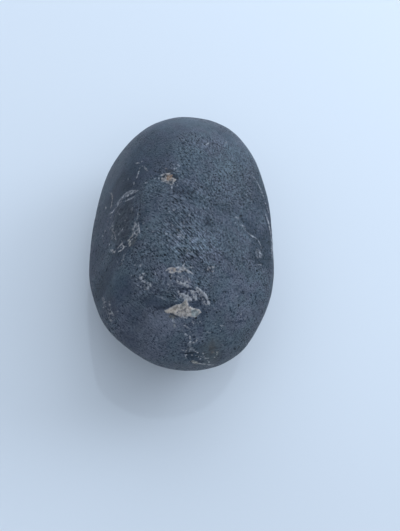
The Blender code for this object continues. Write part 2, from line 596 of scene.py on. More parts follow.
@dataclass(frozen=True)
class Patch:
    """An area with a drawn outline: a piece of mineral, a stain, a bare facet, or shade painted in a hollow.

    Attributes:
        outline: The corners of the area, in plan.
        stains: What it is painted with.
        lift: How far it stands proud of the skin, or is sunk where it is below 0.
        softness: How wide its edge is.
        ragged: How far its edge wanders.
        broken: How much of it the skin has grown over, from 0 to 1.
    """

    outline: tuple[Plan, ...]
    stains: dict[Paint, float]
    lift: float = 0.0
    softness: float = 0.35
    ragged: float = 0.35
    broken: float = 0.0
    REACH: ClassVar[float] = 2.0  # How far outside it corners are looked for.

    def mark(self, skin: Skin) -> None:
        """Works the patch into the skin.

        Args:
            skin: The stone's skin.
        """
        near, depth = self.depth_inside(skin)
        spots = skin.points[near]
        depth += PATCH_EDGE.at(spots) * self.ragged
        share = smooth_step(-self.softness / 2, self.softness / 2, depth)
        share *= still_bare(spots, self.broken, PATCH_GAPS)
        skin.work(self.stains, self.lift, share, near)

    def depth_inside(self, skin: Skin) -> tuple[np.ndarray, np.ndarray]:
        """Finds the corners in and near the outline.

        Args:
            skin: The stone's skin.

        Returns:
            The corners' numbers, and how deep inside the outline each is, or how far outside where
            that is below 0.
        """
        corners = np.array(self.outline)
        near = skin.around(corners.min(axis=0) - self.REACH, corners.max(axis=0) + self.REACH)
        plan = skin.points[near, :2]
        nearest = np.full(len(plan), np.inf)
        inside = np.zeros(len(plan), bool)
        for start, end in zip(corners, np.roll(corners, -1, axis=0)):
            way = end - start
            share = np.clip((plan - start) @ way / (way @ way), 0, 1)
            nearest = np.minimum(nearest, np.linalg.norm(plan - start - share[:, None] * way, axis=1))
            spans = (start[1] > plan[:, 1]) != (end[1] > plan[:, 1])
            rise = way[1] or TINY
            crossing = start[0] + (plan[:, 1] - start[1]) / rise * way[0]
            inside ^= spans & (plan[:, 0] < crossing)
        return near, np.where(inside, nearest, -nearest)


@dataclass(frozen=True)
class Wash:
    """A soft change over an oval area, with no edge of its own.

    Attributes:
        place: The middle, in plan.
        half_sizes: How far it reaches along its turn and across it.
        turn: The direction of its length, anticlockwise from +X.
        stains: The values that its paints go towards.
        strength: How far they go in the middle.
        lift: How far the skin is raised in the middle, or sunk where it is below 0.
    """

    place: Plan
    half_sizes: Plan
    turn: float
    stains: dict[Paint, float]
    strength: float
    lift: float
    CORE: ClassVar[float] = 0.25  # The share of the oval that gets the whole change.
    REACH: ClassVar[float] = 1.3  # How far out corners are looked for, as a share of it.
    WANDER: ClassVar[float] = 0.18  # How far its edge wanders, as a share of it.

    def mark(self, skin: Skin) -> None:
        """Works the wash into the skin.

        Args:
            skin: The stone's skin.
        """
        reach = max(self.half_sizes) * self.REACH
        near = skin.around(np.array(self.place) - reach, np.array(self.place) + reach)
        turn = math.radians(self.turn)
        offset = skin.points[near, :2] - np.array(self.place)
        along = (offset[:, 0] * math.cos(turn) + offset[:, 1] * math.sin(turn)) / self.half_sizes[0]
        across = (offset[:, 1] * math.cos(turn) - offset[:, 0] * math.sin(turn)) / self.half_sizes[1]
        off = np.hypot(along, across) + self.WANDER * WASH_EDGE.at(skin.points[near])
        share = smooth_step(1.0, self.CORE, off) * self.strength
        skin.work(self.stains, self.lift / self.strength, share, near)


@dataclass(frozen=True)
class Ledge:
    """A step in the skin: it drops along a line, and runs out again further off.

    Attributes:
        places: The line. The drop is on the right of someone who looks along it.
        drop: The height of the step.
        run_out: How far from the line the skin has risen again.
        edge: How wide the step itself is.
    """

    places: tuple[Place, ...]
    drop: float
    run_out: float
    edge: float = 0.45
    ENDS: ClassVar[float] = 0.15  # The share of its length over which it fades at each end.
    WANDER: ClassVar[float] = 0.3

    def mark(self, skin: Skin) -> None:
        """Works the ledge into the skin.

        Args:
            skin: The stone's skin.
        """
        near, distance, along, side = Trace(self.places).measure(skin, self.run_out + MARGIN)
        off = distance * side + LEDGE_EDGE.at(skin.points[near]) * self.WANDER
        share = smooth_step(-self.edge / 2, self.edge / 2, off)
        share *= smooth_step(self.run_out, 0.0, off)
        share *= smooth_step(0.0, self.ENDS, along) * smooth_step(1.0, 1 - self.ENDS, along)
        skin.work({}, -self.drop, share, near)


@dataclass(frozen=True)
class RoughGround:
    """Broken stone, rougher than the worn skin around it.

    Attributes:
        outline: The corners of the rough area, in plan.
        height: How far its grain rises and falls.
        size: The size of its grain.
    """

    outline: tuple[Plan, ...]
    height: float
    size: float
    FADE: ClassVar[Plan] = (-0.6, 1.2)  # From how far outside to how far inside it fades in.
    SEED: ClassVar[int] = 71

    def mark(self, skin: Skin) -> None:
        """Works the rough ground into the skin.

        Args:
            skin: The stone's skin.
        """
        near, depth = Patch(self.outline, {}).depth_inside(skin)
        share = smooth_step(*self.FADE, depth) * Grit(self.size, seed=self.SEED).at(skin.points[near])
        skin.work({}, self.height, share, near)


@dataclass(frozen=True)
class Scratches:
    """A field of short parallel scratches.

    Attributes:
        place: The middle of the field, in plan.
        half_sizes: How far the field reaches along the scratches and across them, each way.
        bearing: The way the scratches run, anticlockwise from +X.
        count: How many scratches there are.
        length: The length of the longest.
        seed: A whole number that picks one field out of many.
        pale: How pale the brightest are.
        dark: How dark the darkest grooves are painted, as shade in them.
    """

    place: Plan
    half_sizes: Plan
    bearing: float
    count: int
    length: float
    seed: int
    pale: float = 0.34
    dark: float = 0.6
    GATHER: ClassVar[float] = 0.4  # How far a scratch may be drawn in, as a share.
    STRAY: ClassVar[float] = 9.0  # How far it usually strays from the bearing.
    LENGTHS: ClassVar[Plan] = (0.3, 1.0)
    STRENGTHS: ClassVar[Plan] = (0.5, 1.0)
    BROKEN: ClassVar[float] = 0.2

    def mark(self, skin: Skin) -> None:
        """Works the scratches into the skin, by turns as bright lines and sunk grooves painted dark with
        shade.

        Args:
            skin: The stone's skin.
        """
        dice = np.random.default_rng(self.seed)
        for number in range(self.count):
            shares = dice.uniform(-1, 1, 2) * (1 - self.GATHER * dice.random())
            bearing = math.radians(self.bearing + dice.normal(0, self.STRAY))
            way = np.array([math.cos(bearing), math.sin(bearing)])
            across = np.array([-way[1], way[0]])
            middle = np.array(self.place) + way * shares[0] * self.half_sizes[0]
            middle += across * shares[1] * self.half_sizes[1]
            half = way * self.length * dice.uniform(*self.LENGTHS) / 2
            line = (tuple(middle - half), tuple(middle + half))
            strength = dice.uniform(*self.STRENGTHS)
            # The odd ones are sunk grooves, painted dark as shade in them.
            if number % 2:
                width, stains, lift = 0.45, paints(tone=-self.dark * strength), -0.04
            else:
                width, stains, lift = 0.4, paints(pale=self.pale * strength, warmth=0.1), 0.01
            Vein(line, width, stains, lift, self.BROKEN).mark(skin)


@dataclass(frozen=True)
class PitField:
    """The small pits that the water has opened in the skin, which the finish paints dark with shade.

    Attributes:
        tries: How many places are tried. A place is kept only where pits grow and none is too near.
        smallest: The radius of the smallest pits.
        largest: The radius of the largest pits.
        deepest: The depth of the deepest pits.
        spacing: The least distance between two pits.
        seed: A whole number that picks one scatter out of many.
    """

    tries: int = 9000
    smallest: float = 0.28
    largest: float = 0.5
    deepest: float = 0.12
    spacing: float = 1.5
    seed: int = 7
    CHANCES: ClassVar[Plan] = (0.01, 0.9)  # The least and the greatest chance of a pit.
    GRAIN_LINE: ClassVar[Plan] = (1.2, -0.35)  # How the chance grows with the grain, and where it starts.
    DEPTHS: ClassVar[Plan] = (0.5, 1.0)
    STRETCHES: ClassVar[Plan] = (0.1, 0.45)
    FADE: ClassVar[Plan] = (1.15, 0.35)  # Where a pit has run out and where its floor ends, in radii.

    def mark(self, skin: Skin) -> None:
        """Works the pits into the skin.

        Args:
            skin: The stone's skin.
        """
        dice = np.random.default_rng(self.seed)
        tree = KDTree(len(skin.points))
        for number, point in enumerate(skin.points):
            tree.insert(Vector(point), number)
        tree.balance()
        chances = self._chance(skin)
        taken = np.zeros(len(skin.points), bool)
        kept = 0
        for number in dice.choice(len(skin.points), self.tries, p=self._areas(skin)):
            if taken[number] or dice.random() > chances[number]:
                continue
            around = tree.find_range(Vector(skin.points[number]), self.spacing)
            taken[[found[1] for found in around]] = True
            self._dig(skin, number, around, dice)
            kept += 1
        log.info("%d pits", kept)

    @staticmethod
    def _areas(skin: Skin) -> np.ndarray:
        """The share of the whole skin that belongs to each corner.

        Args:
            skin: The stone's skin.

        Returns:
            A share for each corner, one in all together.
        """
        areas = np.zeros(len(skin.points))
        for face in skin.mesh.polygons:
            areas[face.vertices] += face.area / len(face.vertices)
        return areas / areas.sum()

    def _chance(self, skin: Skin) -> np.ndarray:
        """How likely a pit is at each corner: higher where the grain is coarse."""
        slope, start = self.GRAIN_LINE
        return np.clip(skin.paints[Paint.GRAIN] * slope + start, *self.CHANCES)

    def _dig(self, skin: Skin, number: int, around: list[tuple], dice: np.random.Generator) -> None:
        """Sinks one pit, a little longer one way than the other.

        Args:
            skin: The stone's skin.
            number: The corner in the pit's middle.
            around: The corners that may be in the pit, as the tree found them.
            dice: What the pit's size, depth and shape are drawn from.
        """
        radius = self.smallest + (self.largest - self.smallest) * dice.random() ** 2
        depth = self.deepest * dice.uniform(*self.DEPTHS) * radius / self.largest
        corners = np.array([found[1] for found in around])
        offset = skin.points[corners] - skin.points[number]
        way = dice.normal(size=3)
        way -= skin.normals[number] * (way @ skin.normals[number])
        way /= np.linalg.norm(way)
        along = (offset @ way)[:, None] * way
        stretched = np.linalg.norm(offset - along * dice.uniform(*self.STRETCHES), axis=1)
        share = smooth_step(*self.FADE, stretched / radius)
        skin.lift[corners] -= depth * share
        skin.paints[Paint.PIT][corners] = np.maximum(skin.paints[Paint.PIT][corners], share)


Mark = Vein | Patch | Wash | Ledge | RoughGround | Scratches | Spots | PitField
Marks = tuple[Mark, ...]


def paints(**amounts: float) -> dict[Paint, float]:
    """Takes paints by their names, each with the value that it goes towards."""
    return {Paint(name): amount for name, amount in amounts.items()}


def mineral(pale: float, warmth: float, **more: float) -> dict[Paint, float]:
    """Names the paints of a pale mineral, whose warmth goes from 0 for bluish white to 1 for cream."""
    return paints(pale=pale, warmth=warmth, grain=MINERAL_GRAIN, **more)


def thread(
    *places: Place, width: float = 0.5, pale: float = 0.5, warmth: float = 0.15, lift: float = 0.03,
    broken: float = 0.25, **more: float,
) -> Vein:
    """Makes a thin thread of pale mineral, with other paints by name."""
    return Vein(places, width, mineral(pale, warmth, **more), lift, broken)


def groove(
    *places: Place, width: float = 0.5, depth: float = 0.06, dark: float = 0.7, **more: float
) -> Vein:
    """Makes a thin sunk groove painted dark with shade, free of pale mineral and rust, with other paints by
    name.
    """
    return Vein(places, width, paints(tone=-dark, pale=0.0, rust=0.0, **more), -depth, broken=0.1)


def crust(
    *outline: Plan, pale: float = 0.6, warmth: float = 0.4, lift: float = 0.06, broken: float = 0.25,
    **more: float,
) -> Patch:
    """Makes a small area of pale mineral, with other paints by name."""
    return Patch(outline, mineral(pale, warmth, **more), lift, softness=0.4, ragged=0.25, broken=broken)


def crumbs(
    *places: Place, radius: float = 0.36, pale: float = 0.4, warmth: float = 0.3, lift: float = 0.0,
    **more: float,
) -> Spots:
    """Makes crumbs of pale mineral, with other paints by name."""
    return Spots(places, radius, mineral(pale, warmth, **more), lift)


def pits(
    *places: Place, radius: float = 0.42, dark: float = 0.9, depth: float = 0.06, **more: float
) -> Spots:
    """Makes small sunk pits painted dark with shade, with other paints by name."""
    return Spots(places, radius, paints(tone=-dark, **more), -depth)


def wash(
    place: Plan, half_sizes: Plan, turn: float = 0.0, strength: float = 0.9, lift: float = 0.0,
    **stains: float,
) -> Wash:
    """Makes a soft change over an oval area, towards the values of the paints that are named."""
    return Wash(place, half_sizes, turn, paints(**stains), strength, lift)


@dataclass(frozen=True)
class MarkedArea:
    """An area of the stone, whose fields hold its marks in the order in which they are worked in."""

    def marks(self) -> list[Mark]:
        """Lists the marks of all its fields."""
        return [mark for part in fields(self) for mark in getattr(self, part.name)]


@dataclass(frozen=True)
class FlankScar(MarkedArea):
    """The old flake scar on the left flank: rough ground with painted shade, a pale lens above it, pale
    rims.

    Attributes:
        OUTLINE: The outline of the broken ground.
        broken_ground: The sunk ground, brownish and painted darker as shade in the hollow, and the step up
        at its right side.
        lens: The pale lens at the scar's upper rim, and the thread that runs down from it.
        wedge: The pale wedge at the scar's right rim, and the broken net below it.
        hairs: The fine hairs of mineral above the scar.
    """

    OUTLINE: ClassVar[tuple[Plan, ...]] = (
        (-21.2, -0.8), (-19.6, -0.2), (-17.2, -2.5), (-16.0, -6.5), (-17.3, -9.2), (-16.9, -13.3),
        (-17.6, -16.1), (-19.6, -16.2), (-22.4, -11.3), (-23.5, -6.0), (-23.3, -2.4), (-22.7, -0.9),
    )
    broken_ground: Marks = (
        # Brownish ground, painted darker as shade in the scar's hollow.
        Patch(OUTLINE, paints(umber=0.7, tone=-0.45, grain=0.5), softness=1.8, ragged=0.8),
        RoughGround(OUTLINE, height=0.16, size=1.5),
        Ledge(((-13.6, -17.9), (-13.7, -13.6), (-14.8, -8.4), (-16.6, -2.3)), drop=0.3, run_out=3.2),
        groove((-14.9, -7.5), (-14.3, -11.0), (-13.7, -14.0), width=0.6, dark=0.6),
        groove((-20.7, -0.8), (-22.0, -1.5), (-22.9, -2.7), (-23.1, -5.0), width=0.7, dark=0.5),
        Scratches((-24.7, -6.3), (6.5, 1.9), bearing=80, count=26, length=2.6, seed=15),
        Scratches((-19.7, -8.3), (6, 2.4), bearing=75, count=22, length=1.8, seed=16),
    )
    lens: Marks = (
        crust((-23.1, 0.8), (-22.3, 1.7), (-21.5, 2.3), (-20.1, 2.7), (-18.6, 2.8), (-16.8, 2.4),
              (-18.1, 1.6), (-19.8, 1.1), (-21.2, 0.6), (-22.1, 0.2), pale=0.42, warmth=0.1, lift=0.12,
              broken=0.2),
        thread((-16.2, 2.4), (-17.4, 2.4), (-18.6, 3.0), (-20.1, 3.1), (-21.2, 2.8), (-22.2, 2.0),
               (-23.2, 1.2), width=0.6, pale=0.58, warmth=0.05, lift=0.08, broken=0.1),
        groove((-17.3, 1.3), (-18.6, 1.0), (-20.1, 1.1), (-21.2, 0.9), (-21.9, 0.7), width=0.45, dark=0.9),
        thread((-17.4, 0.8), (-18.5, 0.1), (-19.6, -0.1), (-20.8, 0.2), pale=0.56, warmth=0.05, broken=0.1),
        thread((-20.9, 0.5), (-22.0, 0.6), (-22.5, 0.0), (-23.1, -0.2), (-23.6, -0.3), (-23.8, -0.8),
               (-24.8, -0.3), (-25.3, -0.5), pale=0.62, warmth=0.1, lift=0.06),
        thread((-22.4, -1.9), (-21.2, -4.2), width=0.6, pale=0.46),
        thread((-25.6, 7.8), (-24.8, 5.4), (-24.9, 4.1), (-24.8, 2.5), (-25.1, 1.8), width=0.8, pale=0.44,
               warmth=0.6, umber=0.4),
        thread((-27.3, 5.0), (-26.1, 3.5), width=0.6, warmth=0.3),
        thread((-26.6, 9.5), (-25.5, 8.1), width=0.45, pale=0.34, warmth=0.6),
    )
    wedge: Marks = (
        thread((-15.8, -5.4), (-15.5, -7.5), (-15.7, -8.7), (-16.1, -9.7), width=0.42, pale=0.6, warmth=0.1,
               broken=0.0),
        crust((-16.5, -9.8), (-15.8, -9.1), (-15.1, -10.5), (-14.7, -12.0), (-14.1, -14.1), (-14.7, -14.6),
              (-15.6, -14.5), (-16.2, -13.8), (-16.5, -12.1), (-16.5, -10.7), pale=0.36, warmth=0.3,
              lift=0.16),
        thread((-15.0, -9.8), (-14.5, -12.1), (-13.9, -14.1), width=0.45, pale=0.55, warmth=0.2),
        thread((-15.8, -13.9), (-16.2, -14.5), (-16.7, -15.0), width=0.55, pale=0.6, warmth=0.5, lift=0.08),
        thread((-14.6, -14.8), (-15.5, -15.2), (-16.3, -15.8), pale=0.55, warmth=0.5),
        groove((-15.0, -14.8), (-15.8, -14.9), (-16.3, -15.4), width=0.4),
        wash((-15.5, -17.1), (2, 1.2), turn=70, olive=0.6, strength=1.0),
        crumbs((-16.4, -16.4), (-16.2, -17.3), (-16.8, -15.6), (-16.5, -16.7), radius=0.5, pale=0.75,
               warmth=0.7, lift=0.06, olive=0.4),
        crumbs((-13.6, -10.4), (-22.8, -6.6), (-21.2, -12.3), (-25.2, -6.0), (-17.4, -17.4), (-22.5, -8.2),
               (-24.2, -2.2), (-20.8, -8.4), (-22.7, -13.2), (-21.9, -16.0), (-21.0, -17.3), (-18.8, -17.1),
               radius=0.34, pale=0.55, warmth=0.25),
        crumbs((-26.9, 4.3), (-25.8, 8.1), (-25.0, -2.6), radius=0.4, warmth=0.9, rust=0.2),
        Scratches((-22.7, -9.2), (4.4, 2.2), bearing=-60, count=40, length=1.2, seed=33, pale=0.5),
        thread((-12.6, -11.7), (-11.6, -12.5), width=0.45, pale=0.36),
        thread((-10.6, -14.4), (-9.6, -13.6), width=0.4, pale=0.55, warmth=0.1),
        groove((-10.5, -14.9), (-9.5, -14.1), width=0.4),
        thread((-23.0, -6.6), (-22.7, -8.4), (-21.6, -10.5), (-22.1, -11.4), pale=0.55, warmth=0.3),
        thread((-21.7, -10.8), (-21.2, -12.3), (-20.7, -13.7), warmth=0.3),
        thread((-19.9, -11.3), (-19.5, -10.0), width=0.45, pale=0.45),
        thread((-19.8, -16.9), (-19.3, -16.2), (-18.7, -15.8), (-19.1, -14.5), width=0.7, pale=0.6,
               warmth=0.3),
        thread((-18.7, -15.9), (-18.0, -17.4), (-18.3, -18.2), (-19.3, -18.4), width=0.7, pale=0.66,
               warmth=0.3),
        crust((-22.0, -15.4), (-21.2, -16.1), (-20.1, -17.8), (-20.5, -18.0), (-21.6, -16.7), pale=0.62,
              lift=0.08, broken=0.2),
        thread((-17.5, -20.2), (-17.2, -22.5), width=0.45, pale=0.36),
        groove((-25.5, -14.1), (-24.2, -14.0), (-22.4, -14.3), width=0.6, dark=0.5),
    )
    hairs: Marks = (
        thread((-17.6, 12.2), (-16.9, 11.8), pale=0.45),
        thread((-17.9, 11.9), (-18.0, 10.3), (-18.1, 9.1), (-18.3, 7.1), pale=0.6, broken=0.1),
        thread((-17.0, 12.0), (-15.9, 10.4), (-14.7, 8.5), width=0.42, pale=0.45, broken=0.4),
        thread((-19.5, 14.2), (-18.1, 13.5), pale=0.55, broken=0.1),
        thread((-18.0, 14.3), (-17.3, 13.8), width=0.4, pale=0.4),
        thread((-21.0, 9.4), (-20.6, 7.1), width=0.4, pale=0.3),
        thread((-19.0, 6.8), (-18.4, 3.6), pale=0.26, broken=0.1),
        thread((-15.9, 4.3), (-14.7, 4.9), width=0.4, pale=0.34),
        thread((-14.2, 3.0), (-13.2, 3.7), width=0.4, pale=0.3),
        thread((-23.4, 9.1), (-22.3, 9.2), width=0.4, pale=0.24),
    )


@dataclass(frozen=True)
class OchrePit(MarkedArea):
    """The ochre pit in the far half, and the loose flecks of mineral around it.

    Attributes:
        OUTLINE: The outline of the pit.
        floor: The sunk floor, painted dark as shade in the pit, and the brown band above it, partly brown
        skin and partly painted shade at the pit's far rim.
        filling: The grey, tan and white mineral in the pit, with a few dark holes left in it.
        flecks: The bluish white flecks around the pit, and two more near the far end.
    """

    OUTLINE: ClassVar[tuple[Plan, ...]] = (
        (-10.8, 6.5), (-10.0, 7.6), (-9.4, 8.1), (-8.6, 8.2), (-7.5, 7.8), (-6.5, 7.5), (-6.0, 6.5),
        (-6.0, 5.2), (-6.6, 4.8), (-6.8, 3.8), (-7.5, 3.5), (-8.3, 4.3), (-9.2, 4.7), (-10.4, 5.0),
    )
    floor: Marks = (
        # Partly brown skin and partly painted shade at the pit's far rim.
        wash((-8.5, 8.9), (2, 1.3), umber=1.0, tone=-0.3, strength=1.0),
        thread((-10.4, 9.2), (-9.6, 9.8), (-8.5, 9.7), width=0.6, pale=0.14, warmth=1, rust=0.3),
        # Painted shade: the pit's sunk floor darkened, which shows as a dark ring round the filling.
        Patch(OUTLINE, paints(umber=0.6, tone=-0.8), lift=-0.22, softness=1.2, ragged=0.3),
    )
    filling: Marks = (
        Patch(OUTLINE, mineral(0.5, 0.5, rust=0.06), lift=0.12, softness=0.4, ragged=0.3, broken=0.1),
        crust((-9.3, 7.5), (-8.6, 8.0), (-7.5, 7.6), (-7.1, 6.6), (-7.5, 5.6), (-8.6, 5.7), (-9.3, 6.5),
              warmth=1.0, lift=0.04, broken=0.4, rust=0.4),
        Spots(((-8.1, 6.9), (-7.6, 7.3), (-8.7, 7.3), (-8.5, 6.1)), radius=0.4,
              stains=paints(rust=0.7, pale=0.5, warmth=1.0)),
        crumbs((-8.5, 6.5), (-6.8, 6.6), (-6.5, 5.7), radius=0.42, pale=0.95, warmth=0.7, lift=0.06),
        crust((-8.7, 5.1), (-7.9, 5.1), (-6.9, 5.2), (-6.7, 4.2), (-7.5, 3.6), (-8.2, 4.3), pale=0.44,
              warmth=0.35, broken=0.35),
        thread((-11.2, 7.1), (-10.4, 7.5), (-9.5, 8.0), width=0.55, pale=0.8, warmth=0.25, lift=0.06,
               broken=0.0),
        thread((-9.1, 8.0), (-8.3, 8.2), (-7.6, 7.9), pale=0.6, warmth=0.8, broken=0.0),
        pits((-7.4, 4.9), (-7.0, 7.2), radius=0.4, dark=1.0, depth=0.12, pale=-0.4, rust=0.0, umber=0.5),
        pits((-6.3, 6.7), (-10.0, 7.0), (-6.1, 5.0), radius=0.3, depth=0.08, pale=-0.2, umber=0.5),
        groove((-10.2, 4.5), (-9.1, 4.2), (-8.2, 3.5), (-7.3, 3.1), width=0.45),
        groove((-6.1, 7.3), (-5.7, 6.1), (-5.7, 4.8)),
    )
    flecks: Marks = (
        thread((-12.7, 5.9), (-12.4, 6.2), width=0.6, pale=0.62, warmth=0.0, broken=0.0),
        thread((-11.5, 6.1), (-11.2, 6.7), warmth=0.0, broken=0.0),
        thread((-12.6, 6.8), (-11.7, 7.4), width=0.4, pale=0.3, warmth=0.0),
        pits((-11.9, 6.3), (-4.2, 8.8), (-7.0, 11.8), (-6.3, 2.5), (-5.3, 7.4)),
        crumbs((-6.5, 11.8), (-6.8, 10.0), (-5.9, 9.3), (-5.6, 11.3), (-7.2, 10.8), radius=0.4, pale=0.42,
               warmth=0.0),
        thread((-7.7, 11.2), (-7.1, 12.4), width=0.4, pale=0.36, warmth=0.0),
        thread((-7.1, 3.2), (-6.8, 1.7), width=0.45, pale=0.45, warmth=0.0),
        thread((-5.7, 3.3), (-4.9, 4.0), width=0.4, pale=0.28),
        thread((1.6, 24.0), (2.2, 24.9), (2.7, 25.8), pale=0.66, warmth=0.05, broken=0.0),
        thread((7.9, 29.1), (9.1, 30.7), width=0.55, pale=0.3, warmth=0.5),
    )


@dataclass(frozen=True)
class NearChip(MarkedArea):
    """The chip in the near half: a pool painted dark with shade, a net of white mineral and a cream
    inclusion.

    Attributes:
        OUTLINE: The outline of the cream inclusion.
        hollow: The smooth facet, painted dark as the ledge's shade, the ledge over it, and the pool beside
        the net, sunk and painted dark as shade in it.
        net: The bluish white band that hooks round the pool, with dark slits between its threads.
        inclusion: The cream inclusion, with its pinkish, tan and greenish parts.
        streak: The tan and white streak above the net, and the small ochre ring to its right.
        surroundings: The dark spots and faint lines of the worn skin around the chip.
        left_flecks: The cluster of flecks on the left shoulder, and the lilac stripes below it.
        scratches: The fine scratches of the skin around the chip.
    """

    OUTLINE: ClassVar[tuple[Plan, ...]] = (
        (-2.9, -36.4), (-2.0, -36.0), (-1.0, -35.3), (0.4, -34.7), (1.4, -33.9), (2.2, -33.2), (2.6, -32.7),
        (3.3, -33.4), (3.8, -34.2), (4.8, -34.6), (6.0, -34.5), (6.9, -34.6), (7.7, -35.1), (6.9, -36.1),
        (6.1, -36.8), (4.7, -37.0), (3.5, -37.1), (2.1, -37.5), (0.6, -37.2), (-0.9, -36.9), (-2.1, -37.1),
    )
    hollow: Marks = (
        Ledge(((3.8, -32.8), (1.1, -33.6), (-2.4, -33.7), (-5.5, -33.1), (-7.9, -32.5)), drop=0.32,
              run_out=3.4, edge=0.6),
        # Painted shade: the facet at the ledge darkened.
        Patch(((-10.4, -34.1), (-7.7, -33.3), (-4.8, -33.4), (-1.8, -33.9), (1.4, -33.7), (-1.0, -35.3),
              (-4.2, -36.4), (-7.8, -36.0), (-10.0, -35.1)), paints(tone=-0.4, grain=0.1), lift=-0.1,
              softness=1.8, ragged=0.4),
        groove((-5.1, -36.4), (-3.2, -35.8), (-1.3, -35.0), (1.4, -33.7), width=0.9, depth=0.12, dark=0.75),
        thread((-5.2, -33.1), (-3.0, -33.6), (-1.6, -33.7), (-0.1, -33.6), width=0.4, pale=0.34),
        # Painted shade: the sunk pool beside the net darkened.
        Patch(((3.8, -33.3), (4.7, -32.6), (6.1, -32.2), (7.4, -32.1), (7.4, -33.1), (6.5, -34.0),
              (5.4, -34.6), (4.4, -34.5)), paints(tone=-0.6, pale=0.0, grain=0.5), lift=-0.3, softness=0.8,
              ragged=0.3),
        wash((-1.2, -28.2), (8, 4.6), turn=-12, hue=-0.9, tone=0.3, grain=0.4),
        wash((0.6, -32.1), (1.6, 1.3), hue=-1.0, tone=0.1, strength=1.0),
        # Painted shade under the hook of the net.
        wash((8.3, -35.1), (1.2, 2.4), tone=-0.6, strength=0.8),
    )
    net: Marks = (
        crust((-3.2, -26.6), (0.0, -26.3), (2.7, -26.6), (4.4, -27.7), (2.4, -28.6), (-0.5, -28.8),
              (-2.8, -28.8), pale=0.24, warmth=0.3, lift=0.0, broken=0.4, hue=-0.8, tone=0.3),
        crust((-0.7, -30.6), (1.1, -31.0), (2.8, -30.5), (3.6, -29.8), (5.1, -30.0), (5.8, -31.2),
              (5.3, -32.5), (3.9, -33.2), (2.4, -32.8), (0.8, -32.1), pale=0.5, warmth=0.2, lift=0.05,
              broken=0.3, hue=-0.8, tone=0.4),
        crust((4.2, -29.0), (5.8, -29.0), (7.5, -29.7), (8.8, -30.8), (9.7, -32.5), (8.8, -33.0),
              (7.5, -32.3), (6.3, -31.6), (5.0, -30.3), pale=0.5, warmth=0.2, broken=0.35, hue=-0.8,
              tone=0.4),
        thread((-0.2, -27.2), (0.8, -27.9), (1.8, -28.5), pale=0.35),
        thread((-3.6, -29.2), (-2.4, -29.5), (-1.3, -29.2), pale=0.42, warmth=0.1),
        thread((-1.3, -29.2), (0.1, -28.9), (1.4, -28.9), (2.6, -29.1), (3.6, -29.3), width=0.8, pale=0.8,
               lift=0.1, broken=0.1),
        thread((-0.6, -30.7), (0.6, -31.1), (1.8, -31.6), (2.9, -31.9), width=0.55, pale=0.6, warmth=0.1,
               lift=0.06, broken=0.1),
        thread((-0.9, -32.2), (0.2, -33.1), warmth=0.1),
        thread((4.6, -28.9), (5.8, -29.3), (7.1, -29.9), (8.1, -30.6), (9.1, -31.4), (9.6, -32.4),
               width=0.55, pale=0.6, warmth=0.1, lift=0.12, broken=0.6),
        thread((6.1, -30.4), (7.2, -31.1), (8.1, -32.1), pale=0.4, warmth=0.2, broken=0.4),
        thread((3.5, -30.2), (4.5, -30.3), (5.7, -30.3), pale=0.55, warmth=0.35, lift=0.06, broken=0.2),
        thread((4.1, -31.0), (5.0, -31.7), (5.7, -32.3), pale=0.55, warmth=0.2, lift=0.06, broken=0.2),
        crumbs((6.8, -29.9), (6.0, -29.4), (7.8, -30.5), (8.7, -31.0), (9.4, -32.0), (5.2, -29.0),
               (4.1, -30.4), (5.3, -31.9), (3.2, -32.0), (2.1, -31.9), (1.0, -31.6), (3.9, -32.6),
               (2.7, -33.0), radius=0.42, pale=0.92, warmth=0.12, lift=0.09),
        groove((3.0, -29.5), (4.1, -29.6), (5.2, -29.8), dark=0.9),
        groove((-0.5, -30.0), (0.5, -30.2), (1.8, -30.1), (3.4, -29.7), width=0.6, depth=0.1, dark=0.9),
        groove((0.2, -30.6), (1.0, -31.0), (1.7, -31.1), width=0.55, dark=0.9),
        groove((5.3, -30.2), (6.2, -31.0), (7.1, -31.8), dark=0.8),
        groove((3.3, -30.5), (4.1, -31.5), width=0.42),
        groove((7.3, -30.6), (8.3, -31.5), (8.8, -32.3), width=0.4, dark=0.3),
        pits((2.4, -31.2), (3.5, -31.5), (6.7, -32.3), (0.4, -32.1), (4.7, -32.4), radius=0.36, pale=0.0),
        thread((-0.8, -33.1), (0.3, -33.5), width=0.4, pale=0.4),
    )
    inclusion: Marks = (
        Patch(OUTLINE, mineral(0.95, 0.8), lift=0.16, softness=0.35, ragged=0.25, broken=0.1),
        crust((1.2, -34.3), (2.1, -33.4), (2.7, -32.9), (3.1, -33.9), (2.7, -34.9), (1.7, -35.6), pale=0.62,
              warmth=1.0, rust=0.26, olive=0.5),
        crust((-2.2, -36.5), (-1.2, -35.9), (0.3, -35.4), (0.7, -36.3), (-0.9, -36.9), pale=1.0, warmth=1.0,
              lift=0.05, broken=0.0),
        crust((0.5, -36.8), (1.6, -36.5), (2.9, -36.6), (2.9, -37.2), (1.8, -37.4), pale=1.0, warmth=0.6,
              broken=0.0),
        crust((4.5, -35.2), (5.7, -34.8), (7.1, -35.0), (6.9, -35.9), (6.2, -36.6), (5.0, -36.8), pale=0.66,
              warmth=0.5, olive=1.0),
        groove((-1.0, -37.0), (0.0, -37.3), (1.3, -37.6), width=0.55, dark=0.5, umber=1.0),
        groove((0.5, -36.6), (1.3, -36.0), width=0.4, dark=0.3),
        pits((1.6, -35.2), (2.2, -34.6), (2.0, -36.0), (2.7, -35.3), (0.9, -35.8), radius=0.36, dark=0.2,
             depth=0.05, pale=0.55),
        pits((3.1, -36.0), (3.5, -36.5), (4.4, -35.9), (2.0, -35.9), (4.0, -34.4), radius=0.32, dark=0.5,
             pale=0.3),
        wash((-0.5, -37.7), (1.5, 0.6), olive=1.0, rust=0.25, strength=1.0),
        thread((-0.3, -37.8), (0.1, -38.5), (0.5, -39.2), (0.9, -39.9), width=0.7, warmth=0.2, broken=0.4),
        crumbs((3.1, -37.3), (3.8, -37.2), (-0.1, -38.1), radius=0.34, pale=0.7),
    )
